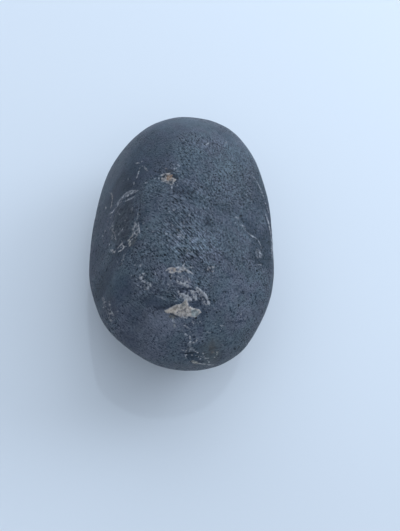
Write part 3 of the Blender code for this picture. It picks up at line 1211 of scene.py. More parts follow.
    streak: Marks = (
        groove((-4.7, -25.3), (-3.7, -24.6), (-2.1, -24.5)),
        crust((-3.9, -25.9), (-3.6, -25.2), (-2.6, -24.8), (-1.5, -24.9), (-1.1, -25.3), (-2.2, -26.0),
              pale=0.46, warmth=1.0, lift=0.08, broken=0.3, rust=0.34),
        thread((-4.7, -26.0), (-4.0, -25.5), (-3.2, -25.0), (-2.0, -24.9), pale=0.85, warmth=0.5,
               broken=0.1),
        thread((-3.7, -26.3), (-2.6, -26.2), (-1.6, -25.8), pale=0.75, warmth=0.6, broken=0.2),
        thread((-1.8, -24.8), (-1.1, -24.3), (-0.2, -24.4), width=0.42, pale=0.55),
        crust((-0.3, -24.5), (0.5, -23.9), (1.6, -23.9), (2.2, -24.4), (1.6, -25.2), (0.5, -25.2),
              warmth=0.25, lift=0.12, broken=0.5),
        thread((-1.0, -25.4), (-0.3, -24.7), (0.2, -23.8), (0.3, -23.3), width=0.55, pale=0.8, broken=0.1),
        thread((1.1, -24.4), (1.8, -23.8), (2.7, -23.6), width=0.42, pale=0.55, warmth=0.2),
        thread((2.1, -25.0), (3.1, -25.4), (3.8, -25.7), pale=0.7, warmth=0.25, broken=0.1),
        thread((-1.0, -26.0), (0.0, -25.9), (1.1, -26.0), width=0.45, warmth=0.4),
        crumbs((0.7, -24.6), (1.4, -24.8), (0.2, -25.1), (2.1, -25.3), (-0.6, -25.0), pale=0.98, lift=0.08),
        pits((0.4, -25.6), (1.5, -24.3), (-0.3, -25.4), (2.5, -24.2), radius=0.34, dark=0.8, pale=0.0),
        thread((-0.2, -24.3), (0.4, -23.0), width=0.42, pale=0.6),
        thread((1.5, -25.0), (2.5, -25.1), (3.5, -25.4), pale=0.66, warmth=0.2),
        thread((-1.2, -25.6), (-0.1, -25.4), width=0.6, warmth=0.7),
        groove((0.0, -25.6), (1.0, -26.0)),
        groove((2.0, -24.4), (2.8, -24.8), width=0.4),
        thread((-1.7, -23.6), (-1.1, -23.3), width=0.4, pale=0.4),
        thread((2.3, -23.5), (3.4, -23.4), width=0.4, pale=0.4),
        groove((3.7, -20.9), (5.0, -21.4), (5.6, -22.9), (5.6, -24.3), width=0.6, dark=0.6),
        thread((7.4, -22.8), (7.7, -21.7), (8.6, -21.0), (9.3, -21.3), (9.3, -22.3), (8.5, -23.1), width=0.6,
               pale=0.34, warmth=0.5, lift=0.06, broken=0.3),
        crumbs((7.7, -22.2), (9.0, -21.4), (9.3, -22.1), radius=0.34, pale=0.42, warmth=0.5, lift=0.05),
        crumbs((8.2, -22.5), (8.8, -22.6), radius=0.42, warmth=0.9, lift=0.02, rust=0.3),
        wash((8.3, -22.2), (1.8, 1.6), hue=-0.8, pale=0.12, warmth=0.5),
        pits((8.6, -22.0), (6.8, -22.8), (9.8, -22.4), radius=0.36, dark=0.8, depth=0.05, pale=0.0),
    )
    surroundings: Marks = (
        pits((-2.9, -27.0), (-1.2, -26.6), (-3.9, -29.1), (-5.4, -27.8), (-1.7, -27.9), dark=0.6,
             depth=0.05),
        groove((-2.3, -29.5), (-0.8, -29.1), width=0.45, dark=0.6),
        groove((-3.2, -30.1), (-1.1, -30.3), dark=0.6),
        thread((-3.6, -29.3), (-2.9, -29.4), pale=0.36),
        thread((-6.9, -25.3), (-7.5, -26.1), (-7.3, -27.3), (-6.6, -28.1), width=0.4, pale=0.3),
        groove((7.6, -34.1), (8.4, -34.8), (8.8, -36.2), width=0.6, dark=0.6),
        groove((9.3, -33.9), (10.1, -34.0), dark=0.6),
        thread((8.7, -33.4), (9.2, -34.5), width=0.4, pale=0.26),
        thread((10.2, -32.3), (10.7, -33.7), width=0.4, pale=0.28),
        thread((11.3, -32.3), (11.5, -33.9), width=0.4, pale=0.24),
    )
    left_flecks: Marks = (
        crust((-12.5, -28.4), (-12.0, -27.8), (-11.1, -27.6), (-9.8, -28.8), (-8.8, -30.2), (-8.4, -31.6),
              (-9.0, -31.9), (-10.3, -30.5), (-11.5, -29.5), pale=0.36, warmth=0.0, lift=0.03, broken=0.1,
              hue=-0.3, tone=0.35),
        Scratches((-10.5, -29.6), (3.2, 1.7), bearing=-58, count=60, length=1.0, seed=12, pale=0.6,
                  dark=0.95),
        crumbs((-11.2, -28.3), (-9.9, -29.7), (-9.1, -31.6), radius=0.3, pale=0.5, lift=0.05),
        pits((-11.1, -27.7), (-10.6, -29.0), (-9.3, -30.5), radius=0.36, pale=0.0),
        wash((-18.6, -35.7), (6.5, 2.8), turn=-70, hue=-1.0, tone=-0.3, umber=0.4, strength=1.0),
        thread((-21.9, -30.7), (-21.0, -32.6), (-20.1, -34.8), width=1.3, pale=0.27, warmth=0.3, broken=0.1),
        thread((-20.1, -34.8), (-19.2, -36.5), (-18.3, -38.0), (-17.0, -39.6), width=1.4, pale=0.3,
               warmth=0.25, broken=0.1),
        thread((-19.5, -33.0), (-19.0, -34.7), (-18.1, -36.7), width=0.7, pale=0.36, warmth=0.4,
               broken=0.35),
        thread((-18.2, -36.7), (-17.1, -38.1), (-16.6, -39.2), width=0.7, pale=0.36, warmth=0.4,
               broken=0.35),
        thread((-20.0, -30.1), (-19.5, -31.7), pale=0.22, warmth=0.4),
        crumbs((-21.3, -31.8), (-17.3, -39.2), (-17.9, -38.4), radius=0.4, pale=0.36, warmth=0.35,
               lift=0.04),
        Scratches((-19.9, -24.2), (5, 2.4), bearing=35, count=20, length=1.2, seed=41, pale=0.4, dark=0.4),
        Scratches((-14.2, -25.0), (3, 3), bearing=40, count=16, length=1.2, seed=42, pale=0.34,
                  dark=0.5),
        Scratches((-17.9, -21.4), (1.8, 0.8), bearing=88, count=9, length=1.4, seed=43, pale=0.5, dark=0.4),
        Scratches((-19.0, -35.8), (5, 1.4), bearing=-62, count=34, length=1.6, seed=13, pale=0.42,
                  dark=0.6),
    )
    scratches: Marks = (
        Scratches((-3.4, -31.6), (5, 2), bearing=-20, count=26, length=2.0, seed=12, pale=0.34),
        Scratches((5.6, -38.4), (3.6, 3.6), bearing=-50, count=20, length=2.6, seed=14),
        Scratches((1.2, -26.9), (5, 1.6), bearing=-20, count=16, length=1.8, seed=17, pale=0.4),
    )


@dataclass(frozen=True)
class EndChip(MarkedArea):
    """The small chips at the near end: a trail of crumbs, cracks painted dark with shade and an olive stain.

    Attributes:
        trail: The trail of crumbs that runs down to the end.
        cracks: The cracks along the end's edge, painted dark as shade in them, and the crumbs between them.
        growth: The olive stain, with the pale and green crumbs in it.
        shoulder: The faint lines of the end's face, and the dark dots on the right shoulder.
    """

    trail: Marks = (
        # Painted shade in the sunk strip at the end's edge.
        wash((6.5, -44.8), (3.6, 1.2), tone=-0.5, lift=-0.1),
        wash((8.4, -38.4), (1.4, 4.2), turn=8, tone=-0.45, hue=-0.8, strength=0.8),
        thread((4.0, -41.0), (4.8, -41.5), (5.4, -42.5), (6.1, -43.4), (6.9, -44.0), width=0.6, pale=0.28,
               warmth=0.0, broken=0.5),
        thread((4.6, -41.9), (6.2, -42.7), width=0.4, pale=0.4),
        crumbs((6.4, -43.7), (6.9, -44.0), (4.3, -41.2), (5.4, -42.5), (7.7, -44.0), (8.4, -43.9),
               (6.7, -42.8), radius=0.34, pale=0.42, warmth=0.0, lift=0.05),
        Scratches((6.2, -43.4), (2.8, 1.1), bearing=-70, count=34, length=1.0, seed=31, pale=0.7),
        thread((4.0, -44.7), (5.1, -44.7), width=0.6, warmth=0.2, broken=0.1),
        thread((0.4, -39.1), (0.7, -39.6), (0.9, -40.3), width=0.9, pale=0.3, warmth=0.5, broken=0.4,
               olive=0.4),
        pits((7.0, -43.5), (7.0, -44.5), (5.9, -44.4), (5.1, -43.6), (8.3, -43.6), radius=0.4, dark=0.8),
        thread((6.6, -43.0), (7.3, -42.5), (8.3, -41.3), warmth=0.2),
        thread((3.3, -39.3), (4.3, -39.5), (5.5, -39.7), width=0.45, broken=0.1),
    )
    cracks: Marks = (
        groove((3.8, -45.3), (5.7, -45.1), (7.4, -44.6), (9.5, -44.1), (12.0, -43.5), width=0.8, depth=0.12,
               dark=0.95),
        crust((5.5, -43.3), (6.4, -43.3), (7.0, -43.8), (8.4, -43.8), (8.2, -44.1), (6.8, -44.3),
              (5.9, -44.1), pale=0.34, warmth=0.0, broken=0.3),
        groove((5.9, -45.5), (7.4, -45.4), (8.7, -45.2), width=0.8, dark=0.9),
        groove((10.6, -45.1, 26.0), (12.3, -44.7, 25.4), (13.8, -44.0, 24.6), width=0.6, depth=0.1,
               dark=1.0),
        thread((3.6, -44.6), (5.1, -44.6), width=0.42, pale=0.36),
        Scratches((10.7, -44.5), (2.8, 0.9), bearing=-15, count=24, length=0.9, seed=32, pale=0.6, dark=0.8),
    )
    growth: Marks = (
        thread((11.6, -44.4, 26.7), (12.8, -44.0, 26.7), width=0.6, pale=0.75, warmth=0.05, lift=0.06,
               broken=0.0),
        crumbs((9.6, -44.7, 27.8), (10.3, -44.8, 27.1), (10.9, -44.4, 27.4), radius=0.34, pale=0.5,
               warmth=0.0, lift=0.06),
        thread((10.4, -45.5, 25.0), (11.9, -45.0, 24.0), (13.3, -44.3, 22.7), (15.1, -43.4, 21.0), width=0.6,
               pale=0.7, warmth=0.2, broken=0.1),
        thread((6.4, -46.3, 27.0), (7.4, -46.1, 26.5), (8.3, -45.9, 26.5), pale=0.3, warmth=0.5),
        thread((7.9, -45.9, 26.8), (9.0, -45.8, 25.8), (10.4, -45.5, 25.0), width=1.3, pale=0.46, warmth=0.9,
               lift=0.08, broken=0.2, olive=0.6),
        Spots(((8.9, -45.9, 23.7), (9.9, -45.6, 22.7)), radius=0.7, stains=paints(olive=0.5, tone=-0.7)),
        wash((13.3, -42.6), (4.4, 4.2), turn=20, olive=0.42, tone=-0.15),
        crumbs((14.1, -42.5), (14.9, -42.6), (15.1, -42.1), pale=0.3, warmth=0.6, lift=0.03, olive=1.0),
        wash((13.0, -41.7), (1.4, 2), turn=20, umber=0.9, rust=0.12),
        crumbs((14.8, -42.2), (14.5, -43.3), pale=0.5, warmth=0.6, lift=0.04, olive=0.4),
        pits((13.9, -41.6), (15.5, -42.6), (12.4, -42.4), (13.4, -43.2), radius=0.36, dark=0.7, depth=0.05),
    )
    shoulder: Marks = (
        thread((1.5, -47.3, 24.7), (3.1, -47.1, 23.7), (5.0, -46.7, 22.2), width=0.6, pale=0.34, broken=0.1),
        thread((3.5, -47.1, 25.0), (5.5, -46.8, 23.7), pale=0.26, broken=0.1),
        Scratches((13.1, -37.9), (5, 3), bearing=5, count=20, length=1.8, seed=18),
        groove((16.7, -34.3), (19.0, -33.5), (21.3, -32.1), (23.6, -30.8), width=0.6, dark=0.6),
        pits((13.4, -16.2), (16.5, -14.1), (18.7, -14.4), (14.0, -21.1), (15.3, -21.2), (17.6, -24.5),
             radius=0.5, dark=0.95, depth=0.08),
        pits((12.6, -21.3), (14.7, -21.9), (19.9, -24.3), (21.5, -24.1), (24.2, -23.3), (16.2, -30.8),
             (20.5, -18.5), depth=0.07),
        crumbs((21.3, -31.0), (20.1, -31.0), (22.0, -31.1), (14.4, -36.4), (14.8, -36.9), radius=0.34,
               warmth=0.1),
        pits((21.2, -30.9), (20.2, -30.8), (17.8, -31.5), (22.4, -23.6), (24.4, -23.2), (19.2, -24.8),
             radius=0.4),
    )


@dataclass(frozen=True)
class RightDent(MarkedArea):
    """The long shallow dent and the scar on the right side, and the worn edge beyond them.

    Attributes:
        dent: The dark of the dent, painted shade with a teal hue, and the coarse grain beyond it.
        worn_edge: The pale lines and dark grooves along the worn right edge.
        scar: The scar in the dent, with its pale rim and the dark dots around it.
        dots: The dots and scratches of the skin around the dent.
    """

    dent: Marks = (
        # Painted shade: the dent and the right side along it darkened.
        wash((24.0, -7.8), (9, 5), turn=75, tone=-0.75, hue=0.8, strength=0.95),
        wash((22.4, 15.4), (16, 5), turn=95, tone=-0.5, hue=0.5),
        wash((19.4, 0.2), (8, 4.4), turn=-38, tone=-0.85, hue=0.7, strength=0.95),
        wash((17.3, 15.1), (13, 8), turn=105, grain=1.1, hue=0.2),
    )
    worn_edge: Marks = (
        thread((18.8, 22.1), (20.8, 21.2), (22.6, 18.5), (24.7, 15.0), (26.1, 11.7), (27.4, 8.6), width=1.0,
               pale=0.46, warmth=0.1, lift=0.1, broken=0.15),
        thread((27.4, 8.6), (28.3, 5.4), (28.8, 1.6), (28.8, -3.1), (29.0, -7.2), width=1.3, warmth=0.0,
               lift=0.12, broken=0.1),
        thread((23.9, 10.6), (25.2, 8.7), (26.6, 6.8), (27.6, 4.1), (28.2, 0.6), width=0.9, pale=0.42,
               warmth=0.1, lift=0.1, broken=0.1),
        groove((23.9, 17.2), (25.5, 13.9), (26.8, 10.6), (28.0, 7.2), width=0.9, depth=0.12, dark=0.9),
        groove((22.9, 16.8), (24.2, 14.2), (25.5, 11.1), (26.7, 8.8), (27.8, 6.1), width=0.6, depth=0.1,
               dark=0.8),
        groove((23.6, 11.1), (25.3, 7.9), (26.7, 4.3)),
    )
    scar: Marks = (
        thread((14.1, 0.3), (15.9, 1.6), warmth=0.0, broken=0.0),
        thread((16.6, -1.3), (17.5, -0.7), (18.5, -0.4), width=0.6, pale=0.56, warmth=0.0, broken=0.0),
        pits((16.2, 2.7), (16.9, 1.8), (17.6, 0.9), (18.1, 2.5), (15.7, 0.4), (19.3, 1.1), (20.3, 0.4),
             depth=0.07),
        thread((17.8, -1.9), (19.2, -2.3), (20.5, -2.7), (22.5, -2.6), (23.9, -3.3), (24.9, -5.2),
               width=0.45, pale=0.6, warmth=0.0, lift=0.06, broken=0.05),
        groove((17.3, -3.0), (18.8, -3.2), (20.7, -3.3), (22.6, -3.2), (23.8, -4.2), dark=0.8),
        groove((17.5, 1.0), (19.7, 0.6), (21.6, 0.5), (23.5, 0.0), width=0.9),
        crust((23.6, -6.0), (24.9, -5.1), (25.2, -6.7), (25.0, -9.2), (23.9, -10.1), (22.5, -8.3), pale=0.3,
              warmth=0.1, lift=0.03, broken=0.6),
        thread((24.9, -4.8), (25.1, -7.2), (24.8, -9.6), pale=0.3, warmth=0.1, broken=0.5),
        thread((23.6, -12.6), (25.0, -11.7), pale=0.4, warmth=0.1, broken=0.0),
        pits((21.4, -7.8), (22.0, -9.7), (22.7, -11.1), (26.1, -7.7), (26.7, -9.1), (26.0, -10.9),
             (23.1, -11.9), (20.8, -11.9), radius=0.45, dark=0.8, depth=0.07),
        crumbs((22.9, -6.9), (23.6, -8.3), (23.5, -9.9), (24.8, -12.0), (26.1, -13.9), warmth=0.1),
        groove((23.1, -10.7), (23.9, -11.5), (25.3, -10.5), width=0.8),
    )
    dots: Marks = (
        pits((8.2, -1.0), (9.4, -3.7), (6.0, -6.7), (6.8, -7.2), (14.7, -7.9), (13.7, -11.6), (13.4, -16.1),
             (11.7, -17.4), (18.8, -14.5), (16.6, -14.8), (13.9, -21.3), (15.5, -21.0), (10.5, -17.2),
             (5.2, -6.2), (2.8, -5.0), (17.5, -9.2), radius=0.45, dark=0.85, depth=0.07),
        pits((15.8, 7.2), (13.1, 3.4), (9.9, 6.6), (11.4, 10.8), (6.9, 1.4), (17.9, 18.4), (18.8, 16.6),
             (16.7, 13.9), (10.8, 12.8), (5.9, 7.5), (7.6, 12.4), dark=0.8),
        Scratches((18.3, 12.2), (4, 3), bearing=28, count=20, length=1.4, seed=19, pale=0.16, dark=0.8),
        Scratches((16.4, 0.1), (5, 3.6), bearing=35, count=30, length=1.4, seed=20, pale=0.35),
    )


@dataclass(frozen=True)
class WornSkinAndPaintedLight(MarkedArea):
    """The worn skin of the whole stone: dark or light, partly by painted light and shade, smooth or coarse,
    scratched and pitted.

    Attributes:
        tones: The wide changes of tone and hue, partly the stone's own and partly painted light and shade,
        such as the painted shade on the left flank, which turns away from the light.
        textures: Where the fine texture is smooth, coarse or swept another way, and a few washes that
        lighten and darken, partly as painted light and shade.
        scratches: The fields of fine parallel scratches.
        pit_field: The pits that are scattered over all of it.
    """

    tones: Marks = (
        # Painted shade: these five darken the left flank, which turns away from the light.
        wash((-17.0, 16.0), (34, 11), turn=62, tone=-0.4, grain=0.2),
        wash((-21.5, 8.0), (7.5, 9.5), turn=-20, tone=-1.0, strength=0.95),
        wash((-10.8, 11.3), (7, 10), turn=-30, tone=-0.5, strength=0.8),
        wash((-26.0, -10.0), (22, 5.5), turn=80, tone=-0.5, hue=-0.5, grain=0.4),
        wash((-22.4, -25.6), (10, 5), turn=78, tone=-0.9),
        # The rest lighten and darken areas, partly as the stone's own tone and partly as painted light and
        # shade.
        wash((-8.6, -42.7), (12, 7), turn=-35, tone=0.2, hue=-1.0, grain=0.1, strength=1.0),
        wash((-2.3, -38.5), (7, 4), turn=-10, tone=0.8, hue=-1.0, grain=0.1, strength=1.0),
        wash((-11.8, -38.4), (5, 3.4), tone=-0.35, hue=-0.6, grain=0.3),
        wash((-11.9, -44.2), (5, 3.4), turn=-40, tone=-0.3, hue=-0.8, strength=0.8),
        wash((7.4, 25.5), (9, 6), turn=20, tone=0.14, hue=-0.7, strength=0.8),
        wash((-4.5, 34.6), (14, 4), tone=-0.2, hue=0.2, strength=0.8),
        wash((8.7, 19.8), (10, 6), turn=70, tone=0.4, hue=0.6),
        wash((3.4, -14.0), (9, 6), turn=30, tone=0.55),
        wash((-1.8, 15.3), (8, 7), hue=0.8, tone=-0.2, strength=0.8),
        wash((-2.2, 2.2), (8, 4), turn=-30, hue=0.4, tone=-0.7),
        wash((10.1, 4.1), (9, 7), turn=20, hue=0.4, tone=-0.6),
        wash((2.7, -13.6), (5, 3.4), turn=30, tone=0.35),
        wash((11.7, -18.1), (7, 6), turn=30, tone=0.0, hue=-0.5, strength=0.8),
        wash((20.0, -21.2), (7, 5), turn=30, tone=0.14, hue=-0.3, strength=0.8),
        wash((-9.6, -14.0), (8, 8), tone=0.35, hue=0.3, strength=0.8),
        wash((-9.7, -22.6), (8, 5), tone=0.25, hue=0.5, strength=0.8),
        wash((-14.7, 4.6), (3, 3), tone=0.3, hue=0.6),
        wash((-12.5, -4.6), (3, 7), tone=-0.2, strength=0.8),
        wash((-10.8, -29.4), (6, 4), turn=-50, tone=0.8),
        wash((-2.4, -28.1), (9, 5), tone=0.7, hue=-0.5),
        wash((-18.9, -20.5), (9, 5), turn=60, tone=-0.6, grain=0.45),
        wash((13.4, -40.2), (12, 5), turn=25, tone=0.12, hue=0.6, grain=0.3, strength=0.8),
        wash((20.3, -29.6), (8, 5.6), turn=25, tone=0.4, hue=-0.3),
        wash((13.5, -44.2), (8, 3.2), turn=5, tone=-0.9, strength=0.95),
        wash((6.8, 35.4), (6, 4), turn=-20, tone=-0.4),
        wash((11.4, 27.5), (8, 10), turn=20, hue=0.5),
        wash((27.0, 0.3), (14, 4), turn=85, tone=-0.8),
        wash((-16.9, 9.5), (8, 8), tone=-0.5, strength=0.8),
        wash((-1.3, 8.6), (7, 4), turn=-20, tone=-0.35, hue=0.3),
        wash((-14.9, -9.4), (2.4, 6), tone=-0.5),
        wash((-17.9, -17.8), (7, 4), turn=20, tone=-0.8),
        wash((27.5, -9.5), (6, 3), turn=80, tone=-0.6),
        wash((11.6, -44.1), (4, 1.4), turn=5, tone=0.1, strength=0.8),
    )
    textures: Marks = (
        wash((-6.0, 31.8), (30, 7), turn=8, grain=0.0),
        wash((13.3, 13.6), (16, 26), turn=-20, sweep=1.0, strength=1.0),
        wash((10.4, -41.2), (18, 9), turn=10, sweep=0.7, grain=0.4, strength=1.0),
        wash((-8.8, -27.6), (10, 10), sweep=-0.8, strength=1.0),
        wash((1.0, -14.8), (16, 10), turn=-35, hatch=1.0, grain=1.0, strength=1.0),
        wash((-2.5, -2.5), (14, 13), grain=0.8, hatch=0.5),
        wash((6.8, 6.2), (12, 11), grain=1.1, hatch=0.6, tone=-0.1, hue=0.3),
        wash((12.7, -7.5), (12, 14), grain=0.8, strength=0.7),
        wash((19.2, -27.7), (14, 9), turn=20, grain=0.4, sweep=0.8),
        wash((14.7, -23.3), (8, 7), grain=0.5, sweep=0.6),
        wash((-23.9, 15.8), (12, 14), grain=0.15),
        wash((-10.9, -9.0), (15, 5.5), turn=85, grain=0.4, strength=0.95),
        wash((12.0, -11.0), (9, 8), grain=1.1, strength=0.8),
        wash((-17.8, -31.1), (9, 13), turn=10, grain=0.28, sweep=-0.5, strength=0.95),
        wash((-18.0, -26.9), (8, 6.5), hue=0.7),
        # These three lighten and darken areas, partly as painted light and shade.
        wash((-16.7, -31.1), (6, 6), tone=-0.6, strength=0.7),
        wash((20.2, -11.3), (9, 10), tone=0.2, strength=0.7),
        wash((-4.8, -26.1), (4, 3), tone=0.3, strength=0.8),
        wash((1.1, -44.4), (12, 7), turn=-10, grain=0.42),
    )
    scratches: Marks = (
        Scratches((-1.2, -16.5), (6.5, 4), bearing=-38, count=50, length=2.4, seed=3, pale=0.4, dark=0.6),
        Scratches((-4.9, -7.5), (7, 5), bearing=-40, count=44, length=1.4, seed=4, pale=0.32, dark=0.6),
        Scratches((4.5, -4.3), (7, 6), bearing=-36, count=44, length=1.2, seed=5, pale=0.32, dark=0.6),
        Scratches((-10.6, -16.7), (6, 6), bearing=-55, count=30, length=1.4, seed=6, pale=0.24),
        Scratches((10.0, 13.5), (7, 7), bearing=25, count=34, length=1.2, seed=7, pale=0.2, dark=0.7),
        Scratches((17.5, -28.0), (6, 5), bearing=5, count=22, length=1.4, seed=8, pale=0.24),
        thread((-5.9, -13.3), (-4.7, -14.8), (-3.7, -16.0), width=0.4, pale=0.3, broken=0.1),
        thread((-2.9, -17.0), (-1.3, -18.1), (0.4, -19.1), (1.2, -19.8), width=0.42, pale=0.4, broken=0.1),
        groove((-2.7, -16.5), (-1.1, -17.5), (0.4, -18.5), width=0.42, dark=0.9),
        groove((-5.1, -13.6), (-3.8, -15.0), (-2.5, -15.8), width=0.42, dark=0.9),
        thread((0.8, -14.4), (1.5, -15.0), width=0.55, pale=0.45, warmth=0.3, broken=0.0),
        pits((6.6, -7.2), (5.7, -6.2), (5.4, -7.3), (2.5, -10.2), (-1.2, -12.7), (-0.3, -14.1), (-1.6, -7.7),
             (-2.5, -8.5), (-6.2, -6.7), (0.3, -2.0), (1.1, 0.5), dark=0.95, depth=0.07),
    )
    pit_field: Marks = (PitField(),)


@dataclass
class NodeBench:
    """A small bench for wiring a material's nodes together."""

    tree: bpy.types.NodeTree

    def add(self, kind: str, settings: dict | None = None, **inputs: object) -> bpy.types.Node:
        """Adds a node.

        Args:
            kind: The node's type name.
            settings: The node's own properties, by name.
            inputs: A value or another node's output for each input, by name with _ for a space, or by
                number after the letter i.

        Returns:
            The node.
        """
        node = self.tree.nodes.new(kind)
        for name, value in (settings or {}).items():
            setattr(node, name, value)
        for name, value in inputs.items():
            place = int(name[1:]) if name[1:].isdigit() else name.replace("_", " ")
            if isinstance(value, bpy.types.NodeSocket):
                self.tree.links.new(value, node.inputs[place])
            else:
                node.inputs[place].default_value = value
        return node

    def scaled(self, vector: object, by: float) -> bpy.types.NodeSocket:
        """Makes a vector longer or shorter."""
        return self.add("ShaderNodeVectorMath", {"operation": "SCALE"}, i0=vector, Scale=by).outputs[0]

    def sum(self, one: object, other: object) -> bpy.types.NodeSocket:
        """Adds two numbers."""
        return self.add("ShaderNodeMath", {"operation": "ADD"}, i0=one, i1=other).outputs[0]

    def times(self, one: object, other: object) -> bpy.types.NodeSocket:
        """Multiplies two numbers."""
        return self.add("ShaderNodeMath", {"operation": "MULTIPLY"}, i0=one, i1=other).outputs[0]

    def range(self, value: object, old: Plan, new: Plan = (0.0, 1.0)) -> bpy.types.NodeSocket:
        """Carries a number smoothly from one range to another, and holds it at the ends.

        Args:
            value: The number.
            old: The two ends that it is carried from.
            new: The two ends that it is carried to.

        Returns:
            The new number.
        """
        node = self.add("ShaderNodeMapRange", {"interpolation_type": "SMOOTHSTEP"}, Value=value)
        for place, number in zip((1, 2, 3, 4), (*old, *new)):
            node.inputs[place].default_value = number
        return node.outputs[0]

    def blend(self, share: object, one: object, other: object) -> bpy.types.NodeSocket:
        """Mixes two colours.

        Args:
            share: How far the mix goes to the second colour.
            one: The first colour, or the output that gives it.
            other: The second colour, or the output that gives it.

        Returns:
            The mixed colour.
        """
        node = self.add("ShaderNodeMix", {"data_type": "RGBA", "blend_type": "MIX"})
        for place, value in ((0, share), (6, one), (7, other)):
            if isinstance(value, bpy.types.NodeSocket):
                self.tree.links.new(value, node.inputs[place])
            else:
                node.inputs[place].default_value = (*value, 1.0) if place else value
        return node.outputs[2]

    def shade(self, colour: object, factor: object) -> bpy.types.NodeSocket:
        """Makes a colour lighter or darker by a factor.

        Args:
            colour: The colour.
            factor: The output that gives the factor.

        Returns:
            The new colour.
        """
        node = self.add("ShaderNodeVectorMath", {"operation": "SCALE"}, i0=colour)
        self.tree.links.new(factor, node.inputs["Scale"])
        return node.outputs[0]

    def tint(self, colour: object, by: object) -> bpy.types.NodeSocket:
        """Multiplies two colours.

        Args:
            colour: The output that gives the one.
            by: The output that gives the other.

        Returns:
            Their product.
        """
        node = self.add("ShaderNodeMix", {"data_type": "RGBA", "blend_type": "MULTIPLY"}, i0=1.0)
        self.tree.links.new(colour, node.inputs[6])
        self.tree.links.new(by, node.inputs[7])
        return node.outputs[2]

    def grain(self, place: object, size: float, detail: float = 3.0) -> bpy.types.NodeSocket:
        """A smooth random number in space, around a half, with lumps of one size and finer ones."""
        noise = self.add("ShaderNodeTexNoise", Vector=place, Scale=1 / size, Detail=detail)
        return noise.outputs[0]

    def strokes(self, place: object, bearing: float, length: float, width: float) -> bpy.types.NodeSocket:
        """Short streaks that run one way.

        Args:
            place: The place on the stone.
            bearing: The way they run, anticlockwise from +X.
            length: Their length.
            width: Their width.

        Returns:
            A number around 0, from about -1 for the darkest to 1 for the brightest.
        """
        turned = self.add("ShaderNodeMapping", {"vector_type": "TEXTURE"}, i0=place)
        turned.inputs["Rotation"].default_value = (0.0, 0.0, math.radians(bearing))
        turned.inputs["Scale"].default_value = (length, width, width)
        return self.range(self.grain(turned.outputs[0], 1.0, 1.0), (0.34, 0.66), (-1.0, 1.0))

    def dots(self, place: object, spacing: float, radius: float) -> bpy.types.NodeSocket:
        """Scattered round dots: 1 well inside a dot of the surface, and 0 outside them."""
        cells = self.add("ShaderNodeTexVoronoi", Vector=place, Scale=1 / spacing)
        return self.range(cells.outputs["Distance"], (radius / spacing, 0.4 * radius / spacing))


@dataclass
class StoneBench(NodeBench):
    """The bench of the stone's finish, with what the finish reads.

    Attributes:
        paints: What the skin carries.
        where: The place on the stone, in millimetres.
        fine: Fine grain.
    """

    paints: dict[Paint, bpy.types.NodeSocket] = field(init=False)
    where: bpy.types.NodeSocket = field(init=False)
    fine: bpy.types.NodeSocket = field(init=False)

    def __post_init__(self) -> None:
        """Adds the nodes that read the skin."""
        self.paints = {
            paint: self.add("ShaderNodeAttribute", {"attribute_name": paint.value}).outputs["Fac"]
            for paint in Paint
        }
        place = self.add("ShaderNodeTexCoord").outputs["Object"]
        self.where = self.scaled(place, 1 / MM)
        self.fine = self.grain(self.where, 0.5)

    def weave(self, place: bpy.types.NodeSocket, bearing: float) -> bpy.types.NodeSocket:
        """Close fine streaks, dark and bright, with a few darker dashes among them."""
        dark = self.range(self.strokes(place, bearing + 8, 0.8, 0.32), (0.25, 0.9), (0.14, -0.75))
        return self.sum(self.times(self.strokes(place, bearing, 1.1, 0.25), 0.45), dark)

    def dashes(self, place: bpy.types.NodeSocket, bearing: float) -> bpy.types.NodeSocket:
        """Sparse soft dark dashes that lie one way, on smoother ground."""
        dark = self.range(self.strokes(place, bearing, 1.0, 0.42), (0.3, 0.9), (0.14, -0.95))
        return self.sum(self.times(self.strokes(place, bearing, 1.0, 0.32), 0.32), dark)


